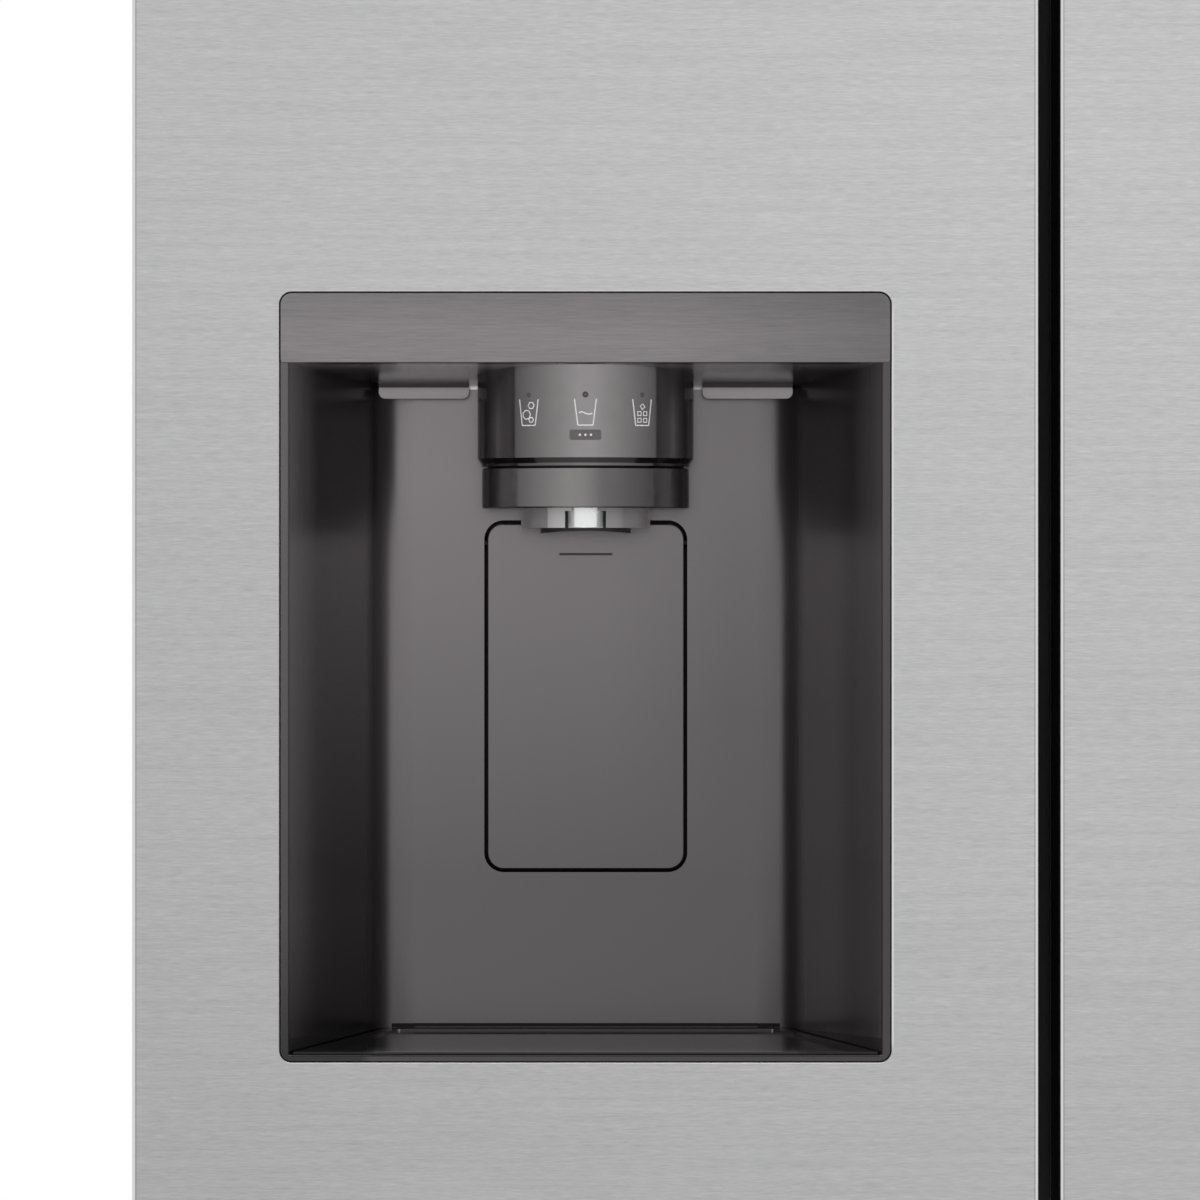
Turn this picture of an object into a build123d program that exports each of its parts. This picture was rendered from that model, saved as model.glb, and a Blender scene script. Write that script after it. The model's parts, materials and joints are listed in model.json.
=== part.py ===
from build123d import *
import os

# Side by side refrigerator with an ice and water dispenser in the freezer door.
# Millimetres. +Z is up, the doors face -Y, the origin is at floor level under the middle of the appliance.

# Cabinet
CASE_WIDTH = 908.0
CASE_DEPTH = 722.0
CASE_TOP = 1742.0
CASE_BOTTOM = 34.0
SHEET = 1.0
SHEET_BEND = 1.2
SIDE_WALL = 50.0
CEILING_WALL = 58.0
REAR_WALL = 56.0
PARTITION = 56.0
FOAM_BOTTOM = 78.0
COMPARTMENT_FLOOR = 136.0
LINER = 2.5
LINER_CORNER = 14.0
BACK_INSET = 4.0

# Machine room at the rear foot of the cabinet
MACHINE_DEPTH = 232.0
MACHINE_TOP = 292.0
MACHINE_BEVEL = 70.0
STEP_WALL = 48.0

# Doors
DOOR_THICKNESS = 80.0
DOOR_BOTTOM = 62.0
DOOR_TOP_SETBACK = 4.0
DOOR_GAP = 9.2
FREEZER_DOOR_WIDTH = 391.2
SEAL_GAP = 12.0
DOOR_LINER = 10.0
DOOR_CAP = 24.0
PIVOT_INSET = 22.0
PIVOT_DEPTH = 45.0
DYKE_HEIGHT = 34.0
DYKE_BASE = 24.0
DYKE_CREST = 17.0
DYKE_BOTTOM = 152.0
DYKE_TOP_INSET = 66.0
DYKE_HINGE_INSET = 54.0
FREEZER_DYKE_FREE_INSET = 38.0
FRIDGE_DYKE_FREE_INSET = 42.0

# Door gasket
GASKET_WIDTH = 14.0
GASKET_NECK = 8.0
GASKET_FOOT = 3.0
GASKET_BELLOWS = 4.0
GASKET_HINGE_INSET = 26.0
GASKET_FREE_INSET = 6.0
GASKET_TOP_INSET = 20.0
GASKET_BOTTOM_INSET = 30.0
SEAL_CLEARANCE = 0.3

# Recessed pull grips in the facing edges of the doors
GRIP_BOTTOM = 510.0
GRIP_TOP = 922.0
GRIP_MOUTH = 22.0
GRIP_REACH = 46.0
GRIP_DEPTH = 48.0
GRIP_WALL = 2.5
GRIP_ROUND = 12.0

# Hinges
PIN_RADIUS = 5.0
PIN_LENGTH = 20.0
RUNNING_FIT = 0.05
HINGE_PLATE = 4.0
HINGE_BOSS = 15.0
HINGE_FOOT_WIDTH = 46.0
HINGE_FOOT_DEPTH = 64.0
HINGE_COVER_HEIGHT = 28.0
HINGE_COVER_WALL = 2.5
HINGE_COVER_MARGIN = 5.0
THRUST_COLLAR = 9.0
LOWER_PLATE_DROP = 8.0
LOWER_LEG_DROP = 24.0

# Dispenser in the freezer door
DISPENSER_DROP = 738.0
DISPENSER_WIDTH = 263.6
DISPENSER_HEIGHT = 332.0
DISPENSER_CORNER = 5.0
DISPENSER_EDGE_RADIUS = 1.5
DISPENSER_EDGE_DEPTH = 6.0
DISPENSER_FIT = 0.3
RECESS_DEPTH = 92.0
RECESS_BACK_WIDTH = 176.0
RECESS_ROUND = 12.0
RECESS_RIM = 3.0
RECESS_WALL = 3.0
CEILING_FALL = 8.4
FASCIA_HEIGHT = 30.3
FASCIA_THICKNESS = 2.6
FASCIA_SETBACK = 0.3
RIM_SETBACK = 0.5
RIM_ROUND = 1.8
LINER_BULGE_DEPTH = 150.0
LINER_BULGE_MARGIN = 18.0
LINER_BULGE_SIDE = 12.0
THROAT_WIDTH = 76.0
THROAT_FRONT = 16.0
THROAT_BACK = 138.0
THROAT_HEIGHT = 76.0

# Dispenser head
HEAD_RADIUS = 47.3
HEAD_AXIS_DEPTH = 52.0
HEAD_DROP = 44.2
HEAD_RISE = 20.0
HEAD_WALL = 5.0
HEAD_BEVEL = (1.7, 2.4)
HEAD_LAND = 1.0
HEAD_SLOT = (33.0, 1.2, 0.9)
HEAD_FIT = 0.4
NECK_HEIGHT = 0.7
NECK_RADIUS = 43.2
RING_RADIUS = 45.3
RING_HEIGHT = 17.5
RING_FLOOR = 3.0
RING_EDGE = 0.5
RING_PLUG = 8.0
PLUG_FIT = 0.1

# Dispenser outlet
DEFLECTOR_RADIUS = 28.2
DEFLECTOR_WALL = 2.5
DEFLECTOR_DROP = 8.6
NOZZLE_RADIUS = 7.7
NOZZLE_BORE = 3.0
NOZZLE_DEPTH = 30.0
NOZZLE_FIT = 0.5
NOZZLE_NOTCH = 1.2
NOZZLE_RISE = 12.0
CHUTE_AXIS_DEPTH = 62.0
CHUTE_OUTLET_RADIUS = 19.8
CHUTE_WALL = 2.0
CHUTE_MOUTH_RADIUS = 30.0
CHUTE_MOUTH_BORE = 24.5
CHUTE_MOUTH_RISE = 6.0
CHUTE_DROP = 10.8
CHUTE_ARCH_RADIUS = 150.0
CHUTE_ARCH_RISE = 1.4
CHUTE_LIP = 5.0
CHUTE_FIT = 0.4
FLAP_RADIUS = 26.0
FLAP_THICKNESS = 2.7
FLAP_SEAT = 0.4
FLAP_KNUCKLE = 4.5
FLAP_PIN = 2.0
FLAP_EAR_INNER = 20.0
FLAP_EAR = 4.0
FLAP_EAR_ROOT = 16.0
FLAP_EAR_GAP = 0.6
FLAP_PIVOT_OFFSET = 36.0

# Dispenser paddle, lamps and tray
PADDLE_WIDTH = 87.1
PADDLE_HEIGHT = 153.0
PADDLE_CORNER = 7.2
PADDLE_THICKNESS = 4.0
PADDLE_GAP = 1.4
PADDLE_DROP = 68.5
PADDLE_PIVOT_DROP = 8.0
PADDLE_PIVOT_SETBACK = 10.0
PADDLE_PIN = 2.5
PADDLE_KNUCKLE = 5.5
PADDLE_KNUCKLE_LENGTH = 12.0
PADDLE_KNUCKLE_SPREAD = 30.0
PADDLE_EDGE = 0.8
PADDLE_MARK = (23.5, 0.9, 0.4)
PADDLE_MARK_DROP = 13.6
PADDLE_ROOM_MARGIN = 8.0
PADDLE_ROOM_DEPTH = 28.0
LAMP_TAB = (39.7, 8.0, 5.2)
LAMP_TAB_SLOT = (3.0, 1.2)
LAMP_TAB_INNER = 51.5
LAMP_TAB_DEPTH = 76.0
LAMP_TAB_ROUND = 2.8
TRAY_GAP = 1.5
TRAY_FRONT = 0.9
TRAY_BACK = 6.9
TRAY_RIM = 6.0
TRAY_BASIN = 0.8
TRAY_SLOT = (1.6, 1.8)

# Ice maker, ice bin and auger on the freezer door
ICE_BIN_DEPTH = 120.0
ICE_BIN_HEIGHT = 176.0
ICE_OUTLET_RADIUS = 26.0
ICE_OUTLET_DEPTH = 111.0
AUGER_RADIUS = 36.0
AUGER_SHAFT = 5.0
AUGER_HUB = 9.0
AUGER_HEIGHT = 46.0
AUGER_BLADES = 6
AUGER_BLADE_THICKNESS = 6.0
AUGER_END_GAP = 0.2
AUGER_WALL_GAP = 2.0
ICE_MAKER_GAP = 8.0
ICE_MAKER_DEPTH = 96.0
ICE_MAKER_HEIGHT = 74.0
ICE_MOULDS = 7
ICE_MOULD_RADIUS = 30.0
ICE_MOULD_WALL = 4.0
ICE_GEARBOX = 44.0

# Door bins
BIN_WALL = 2.5
BIN_FIT = 0.3
BIN_CORNER = 18.0
BIN_HEIGHT = 128.0
BIN_FIRST = 184.0
BIN_HEADROOM = 12.0
FREEZER_BIN_DEPTH = 108.0
FREEZER_BIN_PITCH = 262.0
FRIDGE_BIN_DEPTH = 128.0
FRIDGE_BIN_PITCH = 372.0
BIN_RAIL_HEIGHT = 10.0
BIN_RAIL_REACH = 3.0

# Shelves and drawers
SHELF_SETBACK = 142.0
SHELF_FIRST = 552.0
SHELF_PITCH = 262.0
SHELF_HEADROOM = 150.0
SHELF_SIDE_GAP = 1.0
SHELF_THICKNESS = 6.0
SHELF_LIP = 18.0
SHELF_FRAME = 16.0
SHELF_FRAME_HEIGHT = 12.0
GLASS = 4.0
GLASS_REBATE = 6.0
GLASS_FIT = 0.2
LEDGE_REACH = 7.0
LEDGE_HEIGHT = 8.0
DRAWER_LEDGE_REACH = 20.0
DRAWER_WALL = 2.5
DRAWER_CORNER = 14.0
DRAWER_FOOT_ROUND = 6.0
DRAWER_GAP = 10.0
DRAWER_SIDE_GAP = 8.5
DRAWER_FRONT = 10.0
DRAWER_PULL = (120.0, 5.0, 16.0)
DRAWER_PULL_DROP = 18.0
INTERIOR_LAMP = (150.0, 70.0, 9.0)
INTERIOR_LAMP_SETBACK = 90.0
INTERIOR_LAMP_ROUND = 12.0

# Evaporator behind the freezer
EVAPORATOR_SPACE = 80.0
EVAPORATOR_COVER = 3.0
EVAPORATOR_COVER_GAP = 1.0
EVAPORATOR_TUBE = 5.0
EVAPORATOR_RUNS = 9
EVAPORATOR_PITCH = 34.0
EVAPORATOR_WIDTH = 236.0
EVAPORATOR_FOOT = 40.0
EVAPORATOR_PLATE = 4.0
EVAPORATOR_FAN_DROP = 204.0
VENT_SLOT = (180.0, 7.0)
VENT_PITCH = 16.0
VENT_ROWS = 6
VENT_HEIGHT = 420.0

# Fans
FAN_SPINDLE = 3.0
FAN_HUB = 20.0
FAN_TIP_GAP = 4.0
FAN_HUB_LENGTH = 16.0
FAN_BLADES = 5
FAN_BLADE = (28.0, 1.8)
FAN_PITCH = 32.0
FAN_AXIAL_GAP = 2.0
FAN_ARM = 8.0
EVAPORATOR_FAN_OPENING = 58.0
CONDENSER_FAN_OPENING = 76.0
CONDENSER_FAN_FRAME = 184.0
CONDENSER_FAN_PLATE = 5.0
CONDENSER_FAN_X = -20.0

# Machine room contents
TRAY_LEVEL = 40.0
TRAY_SHEET = 2.0
COMPRESSOR_INSET = 264.0
COMPRESSOR_RADIUS = 74.0
COMPRESSOR_HEIGHT = 152.0
COMPRESSOR_DOME = 46.0
COMPRESSOR_SEAM = 4.0
COMPRESSOR_FOOT = (210.0, 120.0, 3.0)
COMPRESSOR_BUSH = 11.0
COMPRESSOR_BUSH_HEIGHT = 16.0
COMPRESSOR_BOX = (46.0, 34.0, 58.0)
CONDENSER_TUBE = 4.0
CONDENSER_RUNS = 8
CONDENSER_PITCH = 22.0
CONDENSER_LENGTH = 240.0
CONDENSER_PLATE = 4.0
CONDENSER_INSET = 228.0
DRAIN_PAN = (260.0, 150.0, 30.0)
DRAIN_PAN_WALL = 2.5
VALVE_INSET = 70.0
VALVE_BODY = (34.0, 44.0, 36.0)
VALVE_HEIGHT = 96.0
VALVE_COIL = 13.0
VALVE_BRACKET = 3.0
INLET_RADIUS = 5.5
INLET_LENGTH = 20.0
INLET_SETBACK = 3.0
INLET_WINDOW = 24.0
CORD_HOLE = 9.0
CORD_HOLE_INSET = 62.0
CORD_HOLE_HEIGHT = 120.0
COVER_SHEET = 2.0
COVER_SLOT = (70.0, 6.0)
COVER_SLOT_PITCH = (92.0, 16.0)
COVER_SLOT_COUNT = (7, 8)

# Base
RAIL_WIDTH = 46.0
RAIL_WALL = 2.5
FRONT_FLANGE = 42.0
ROLLER_RADIUS = 20.0
ROLLER_WIDTH = 18.0
ROLLER_EDGE = 2.0
ROLLER_AXLE = 4.0
ROLLER_SETBACK = 62.0
FORK_GAP = 1.0
FORK_EAR = 3.0
FORK_WIDTH = 28.0
FOOT_RADIUS = 19.0
FOOT_HEIGHT = 12.0
FOOT_STUD = 6.0
FOOT_STUD_FIT = 0.2
FOOT_SETBACK = 52.0
GRILLE_END = 62.0
GRILLE_BOTTOM = 14.0
GRILLE_TOP = 53.0
GRILLE_DEPTH = 12.0
GRILLE_WALL = 2.5
GRILLE_SLOT = (44.0, 5.0)
GRILLE_SLOT_PITCH = (52.0, 9.5)
GRILLE_SLOT_COUNT = (14, 3)

# Places that follow from the sizes
OVERALL_DEPTH = DOOR_THICKNESS + SEAL_GAP + CASE_DEPTH
FRONT_Y = -OVERALL_DEPTH / 2
DOOR_BACK_Y = FRONT_Y + DOOR_THICKNESS
SKIN_BACK_Y = DOOR_BACK_Y - DOOR_LINER
CASE_FRONT_Y = DOOR_BACK_Y + SEAL_GAP
CASE_BACK_Y = CASE_FRONT_Y + CASE_DEPTH
CASE_X = (-CASE_WIDTH / 2, CASE_WIDTH / 2)
CASE_INSIDE_X = (CASE_X[0] + SHEET, CASE_X[1] - SHEET)
BACK_SHEET_Y = CASE_BACK_Y - BACK_INSET
COMPRESSOR_X = CASE_X[1] - COMPRESSOR_INSET
CONDENSER_X = CASE_X[0] + CONDENSER_INSET
VALVE_X = CASE_X[0] + VALVE_INSET
CORD_HOLE_X = CASE_X[1] - CORD_HOLE_INSET
GAP_X = CASE_X[0] + FREEZER_DOOR_WIDTH + DOOR_GAP / 2
FREEZER_X = (CASE_X[0] + SIDE_WALL, GAP_X - PARTITION / 2)
FRIDGE_X = (GAP_X + PARTITION / 2, CASE_X[1] - SIDE_WALL)
CEILING = CASE_TOP - CEILING_WALL
REAR_Y = CASE_BACK_Y - REAR_WALL
MACHINE_FRONT_Y = CASE_BACK_Y - MACHINE_DEPTH
STEP_TOP = MACHINE_TOP + STEP_WALL
STEP_FRONT_Y = MACHINE_FRONT_Y - STEP_WALL
DOOR_TOP = CASE_TOP - DOOR_TOP_SETBACK
DOOR_Z = (DOOR_BOTTOM, DOOR_TOP)
DYKE_TOP = DOOR_TOP - DYKE_TOP_INSET
DOOR_CORE_Z = (DOOR_BOTTOM + DOOR_CAP, DOOR_TOP - DOOR_CAP)
PIVOT_Y = FRONT_Y + PIVOT_DEPTH
SHELF_FRONT_Y = CASE_FRONT_Y + SHELF_SETBACK
COVER_Y = REAR_Y - EVAPORATOR_SPACE
EVAPORATOR_FAN_HEIGHT = CEILING - EVAPORATOR_FAN_DROP
DISPENSER_X = CASE_X[0] + FREEZER_DOOR_WIDTH / 2
DISPENSER_BOTTOM = DOOR_TOP - DISPENSER_DROP
DISPENSER_TOP = DISPENSER_BOTTOM + DISPENSER_HEIGHT
DISPENSER_MID_Z = DISPENSER_BOTTOM + DISPENSER_HEIGHT / 2
DISPENSER_CEILING = DISPENSER_TOP - FASCIA_HEIGHT
RECESS_FLOOR = DISPENSER_BOTTOM + DISPENSER_FIT + RECESS_RIM
RECESS_BACK_Y = FRONT_Y + RECESS_DEPTH
HEAD_Y = FRONT_Y + HEAD_AXIS_DEPTH
HEAD_BOTTOM = DISPENSER_CEILING - HEAD_DROP
RING_TOP = HEAD_BOTTOM - NECK_HEIGHT
RING_BOTTOM = RING_TOP - RING_HEIGHT
CHUTE_Y = FRONT_Y + CHUTE_AXIS_DEPTH
CHUTE_TOP = DISPENSER_TOP + CHUTE_MOUTH_RISE
PADDLE_TOP = DISPENSER_CEILING - PADDLE_DROP
PADDLE_MID_Z = PADDLE_TOP - PADDLE_HEIGHT / 2
PADDLE_PIVOT_Y = RECESS_BACK_Y + PADDLE_PIVOT_SETBACK
PADDLE_PIVOT_Z = PADDLE_TOP - PADDLE_PIVOT_DROP
BULGE_BOTTOM = DISPENSER_BOTTOM - LINER_BULGE_MARGIN
BULGE_TOP = DISPENSER_TOP + THROAT_HEIGHT
AUGER_Y = DOOR_BACK_Y + ICE_BIN_DEPTH / 2
AUGER_Z = BULGE_TOP + AUGER_HEIGHT
TRAY_TOP = TRAY_LEVEL + TRAY_SHEET


class Door:
    """The X positions of one door, measured from its hinge side to its free side."""

    def __init__(self, hinge_side, free_side, dyke_free_inset):
        self.hinge_side = hinge_side
        self.free_side = free_side
        self.way = 1 if free_side > hinge_side else -1
        self.pivot = hinge_side + self.way * PIVOT_INSET
        self.dykes = (hinge_side + self.way * DYKE_HINGE_INSET, free_side - self.way * dyke_free_inset)

    def span(self, hinge_inset, free_inset):
        ends = (self.hinge_side + self.way * hinge_inset, self.free_side - self.way * free_inset)
        return (min(ends), max(ends))

    def from_free(self, near, far):
        ends = (self.free_side - self.way * near, self.free_side - self.way * far)
        return (min(ends), max(ends))

    def between_dykes(self, gap):
        inner = (self.dykes[0] + self.way * DYKE_BASE, self.dykes[1] - self.way * DYKE_BASE)
        return (min(inner) + gap, max(inner) - gap)


FREEZER_DOOR = Door(CASE_X[0], CASE_X[0] + FREEZER_DOOR_WIDTH, FREEZER_DYKE_FREE_INSET)
FRIDGE_DOOR = Door(CASE_X[1], CASE_X[0] + FREEZER_DOOR_WIDTH + DOOR_GAP, FRIDGE_DYKE_FREE_INSET)


def block(x, y, z):
    """A block between two values of X, Y and Z."""
    size = Box(x[1] - x[0], y[1] - y[0], z[1] - z[0])
    return Pos((x[0] + x[1]) / 2, (y[0] + y[1]) / 2, (z[0] + z[1]) / 2) * size


def middle(pair):
    return (pair[0] + pair[1]) / 2


def inset(pair, amount):
    return (pair[0] + amount, pair[1] - amount)


def rise(sketch, z):
    """A plan outline drawn in X and Y, raised between two heights."""
    return extrude(Pos(0, 0, z[0]) * sketch, z[1] - z[0])


def facing(x, z, y):
    """The plane at depth y that is seen from the front, centred at x and z."""
    return Plane(origin=(x, y, z), x_dir=(1, 0, 0), z_dir=(0, -1, 0))


def backward(sketch, x, z, y):
    """A front outline about x and z, run back between two values of Y."""
    return extrude(facing(x, z, y[0]) * sketch, -(y[1] - y[0]))


def sideways(sketch, x):
    """A side outline drawn in Y and Z, run between two values of X."""
    return extrude(Plane.YZ.offset(x[0]) * sketch, x[1] - x[0])


def rod_x(radius, x, y, z):
    return Pos(middle(x), y, z) * Rot(0, 90, 0) * Cylinder(radius, x[1] - x[0])


def rod_y(radius, x, y, z):
    return Pos(x, middle(y), z) * Rot(90, 0, 0) * Cylinder(radius, y[1] - y[0])


def rod_z(radius, x, y, z):
    return Pos(x, y, middle(z)) * Cylinder(radius, z[1] - z[0])


def upright_edges(solid):
    return solid.edges().filter_by(Axis.Z)


def front_uprights(solid):
    return upright_edges(solid).group_by(Axis.Y)[0]


def rear_uprights(solid):
    return upright_edges(solid).group_by(Axis.Y)[-1]


def outline(*points):
    return make_face(Polyline(*points, close=True))


def pattern(sketch, spacing, counts):
    """Copies of an outline on a grid."""
    return Sketch() + [place * sketch for place in GridLocations(*spacing, *counts)]


def turned(x, y, *points):
    """A solid of revolution about an upright axis at x and y; points are radius and height."""
    profile = make_face(Polyline(*[(r, 0, z) for r, z in points], close=True))
    return Pos(x, y, 0) * revolve(profile, Axis.Z)


def serpentine(radius, runs, length, pitch):
    """One bent tube in the local X and Y plane, with runs along X."""
    points = []
    for run in range(runs):
        ends = (-length / 2, length / 2)
        if run % 2:
            ends = ends[::-1]
        height = run * pitch
        points += [(ends[0], height), (ends[1], height)]
    path = FilletPolyline(*points, radius=pitch / 2 - 0.01)
    section = Plane(origin=path @ 0, z_dir=path % 0) * Circle(radius)
    return sweep(section, path=path)


def fan_wheel(tip_radius):
    """A fan wheel about the local Z axis, with a bore for its spindle."""
    wheel = Cylinder(FAN_HUB, FAN_HUB_LENGTH)
    reach = tip_radius - FAN_HUB / 2
    for number in range(FAN_BLADES):
        blade = Rot(FAN_PITCH, 0, 0) * Box(reach, *FAN_BLADE)
        wheel += Rot(0, 0, 360 / FAN_BLADES * number) * Pos(FAN_HUB / 2 + reach / 2, 0, 0) * blade
    keep = Cylinder(tip_radius, FAN_HUB_LENGTH)
    return (wheel & keep) - Cylinder(FAN_SPINDLE + RUNNING_FIT, FAN_HUB_LENGTH)


# Cabinet shell
def side_panel(outer_x, way):
    """One side of the case, with the flange that the door gasket closes on."""
    flange = outer_x + way * (SIDE_WALL - LINER)
    inner = outer_x + way * SHEET
    face = outline(
        (outer_x, CASE_FRONT_Y),
        (flange, CASE_FRONT_Y),
        (flange, CASE_FRONT_Y + SHEET),
        (inner, CASE_FRONT_Y + SHEET),
        (inner, CASE_BACK_Y),
        (outer_x, CASE_BACK_Y),
    )
    panel = rise(face, (CASE_BOTTOM, CASE_TOP))
    bend = upright_edges(panel).sort_by_distance((outer_x, CASE_FRONT_Y, middle((CASE_BOTTOM, CASE_TOP))))[0]
    panel = fillet(bend, SHEET_BEND - SHEET)
    rebate_y = (CASE_FRONT_Y, CASE_FRONT_Y + SHEET)
    rebate = block(sorted((inner, flange)), rebate_y, (CASE_TOP - SHEET, CASE_TOP))
    return panel - rebate


def top_panel():
    lid = block(CASE_INSIDE_X, (CASE_FRONT_Y, CASE_BACK_Y), (CASE_TOP - SHEET, CASE_TOP))
    flange_x = inset(CASE_X, SIDE_WALL - LINER)
    flange_z = (CEILING + LINER, CASE_TOP)
    return lid + block(flange_x, (CASE_FRONT_Y, CASE_FRONT_Y + SHEET), flange_z)


def back_panel():
    return block(CASE_INSIDE_X, (BACK_SHEET_Y - SHEET, BACK_SHEET_Y), (MACHINE_TOP, CASE_TOP - SHEET))


def machine_room_face():
    """The side outline of the machine room."""
    return outline(
        (MACHINE_FRONT_Y, 0),
        (MACHINE_FRONT_Y, MACHINE_TOP - MACHINE_BEVEL),
        (MACHINE_FRONT_Y + MACHINE_BEVEL, MACHINE_TOP),
        (CASE_BACK_Y, MACHINE_TOP),
        (CASE_BACK_Y, 0),
    )


def compartment(x, grow):
    """The hollow of one compartment, stepped over the machine room, or its liner's outside."""
    y = (CASE_FRONT_Y - SEAL_GAP, REAR_Y + grow)
    z = (COMPARTMENT_FLOOR - grow, CEILING + grow)
    face = Pos(middle(y), middle(z)) * Rectangle(y[1] - y[0], z[1] - z[0])
    face -= offset(machine_room_face(), STEP_WALL - grow, kind=Kind.INTERSECTION)
    return sideways(face, (x[0] - grow, x[1] + grow))


def liner(x, ledges):
    hollow = compartment(x, 0)
    step_reach = STEP_FRONT_Y - CASE_FRONT_Y
    long_edges = [edge for edge in hollow.edges().filter_by(Axis.Y) if edge.length > step_reach]
    rear_edges = [edge for edge in rear_uprights(hollow)]
    hollow = fillet(long_edges + rear_edges, LINER_CORNER)
    front = block((x[0] - SIDE_WALL, x[1] + SIDE_WALL), (FRONT_Y, CASE_FRONT_Y), (0, CASE_TOP))
    shell = compartment(x, LINER) - hollow - front
    for level, reach, back_y in ledges:
        for wall, way in ((x[0], 1), (x[1], -1)):
            ledge_x = sorted((wall - way * LINER / 2, wall + way * reach))
            shell += block(ledge_x, (SHELF_FRONT_Y, back_y), (level - LEDGE_HEIGHT, level))
    return shell


def shelf_levels():
    count = 1 + int((CEILING - SHELF_HEADROOM - SHELF_FIRST) / SHELF_PITCH)
    return [SHELF_FIRST + SHELF_PITCH * number for number in range(count)]


def drawer_height():
    return (SHELF_FIRST - LEDGE_HEIGHT - COMPARTMENT_FLOOR) / 2 - DRAWER_GAP


def upper_drawer_level():
    return COMPARTMENT_FLOOR + drawer_height() + DRAWER_GAP


def ledge_list(back_y):
    drawer_back = STEP_FRONT_Y - DRAWER_GAP
    shelves = [(level, LEDGE_REACH, back_y) for level in shelf_levels()]
    return shelves + [(upper_drawer_level(), DRAWER_LEDGE_REACH, drawer_back)]


def cabinet_foam():
    foam = block(
        CASE_INSIDE_X, (CASE_FRONT_Y + SHEET, BACK_SHEET_Y - SHEET), (FOAM_BOTTOM, CASE_TOP - SHEET)
    )
    foam -= sideways(machine_room_face(), CASE_X)
    return foam - compartment(FREEZER_X, LINER) - compartment(FRIDGE_X, LINER)


def centre_rail():
    """The channel that closes the partition between the two compartments."""
    x = (FREEZER_X[1] + LINER, FRIDGE_X[0] - LINER)
    z = (COMPARTMENT_FLOOR - LINER, CEILING + LINER)
    return block(x, (CASE_FRONT_Y, CASE_FRONT_Y + SHEET), z)


# Base
def rail_x(way):
    outer = way * (CASE_X[1] - SHEET)
    return sorted((outer, outer - way * RAIL_WIDTH))


def base_frame():
    """The welded chassis: side rails, front rail, machine room tray, roller forks and axles."""
    rail_y = (CASE_FRONT_Y + SHEET, BACK_SHEET_Y - COVER_SHEET)
    frame = None
    for way in (-1, 1):
        x = rail_x(way)
        rail = block(x, rail_y, (CASE_BOTTOM, FOAM_BOTTOM))
        rail -= block(inset(x, RAIL_WALL), rail_y, (CASE_BOTTOM, FOAM_BOTTOM - RAIL_WALL))
        foot_y = CASE_FRONT_Y + FOOT_SETBACK
        rail -= rod_z(FOOT_STUD + FOOT_STUD_FIT, middle(x), foot_y, (CASE_BOTTOM, FOAM_BOTTOM))
        rail += roller_fork(middle(x))
        frame = rail if frame is None else frame + rail
    inner = (rail_x(-1)[1], rail_x(1)[0])
    reach = (inner[0] - RAIL_WALL / 2, inner[1] + RAIL_WALL / 2)
    flange_x = inset(CASE_X, SIDE_WALL - LINER)
    frame += block(flange_x, (CASE_FRONT_Y, CASE_FRONT_Y + SHEET), (CASE_BOTTOM, COMPARTMENT_FLOOR - LINER))
    front_y = (CASE_FRONT_Y + SHEET, CASE_FRONT_Y + FRONT_FLANGE)
    frame += block(reach, front_y, (CASE_BOTTOM, CASE_BOTTOM + RAIL_WALL))
    frame += block(reach, (MACHINE_FRONT_Y, BACK_SHEET_Y - COVER_SHEET), (TRAY_LEVEL, TRAY_TOP))
    frame += block(reach, (MACHINE_FRONT_Y - SHEET, MACHINE_FRONT_Y), (TRAY_LEVEL, FOAM_BOTTOM))
    return frame


def roller_fork(x):
    y = CASE_BACK_Y - ROLLER_SETBACK
    half = ROLLER_WIDTH / 2 + FORK_GAP
    fork = rod_x(ROLLER_AXLE, (x - half - FORK_EAR, x + half + FORK_EAR), y, ROLLER_RADIUS)
    for way in (-1, 1):
        ear_x = sorted((x + way * half, x + way * (half + FORK_EAR)))
        ear_y = (y - FORK_WIDTH / 2, y + FORK_WIDTH / 2)
        ear = block(ear_x, ear_y, (ROLLER_RADIUS, FOAM_BOTTOM - RAIL_WALL))
        fork += ear + rod_x(FORK_WIDTH / 2, ear_x, y, ROLLER_RADIUS)
    return fork


def rear_roller(way):
    x = middle(rail_x(way))
    roller = rod_x(ROLLER_RADIUS, (x - ROLLER_WIDTH / 2, x + ROLLER_WIDTH / 2), 0, 0)
    roller = fillet(roller.edges(), ROLLER_EDGE)
    roller -= rod_x(ROLLER_AXLE + RUNNING_FIT, (x - ROLLER_WIDTH, x + ROLLER_WIDTH), 0, 0)
    return Pos(0, CASE_BACK_Y - ROLLER_SETBACK, ROLLER_RADIUS) * roller


def levelling_foot(way):
    stud_top = FOAM_BOTTOM - FOOT_STUD_FIT
    rim = FOOT_RADIUS - FOOT_HEIGHT / 4
    return turned(
        middle(rail_x(way)),
        CASE_FRONT_Y + FOOT_SETBACK,
        (0, 0),
        (rim, 0),
        (FOOT_RADIUS, FOOT_HEIGHT / 4),
        (FOOT_RADIUS, FOOT_HEIGHT / 2),
        (FOOT_STUD + FOOT_HEIGHT / 4, FOOT_HEIGHT),
        (FOOT_STUD, FOOT_HEIGHT),
        (FOOT_STUD, stud_top),
        (0, stud_top),
    )


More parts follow.
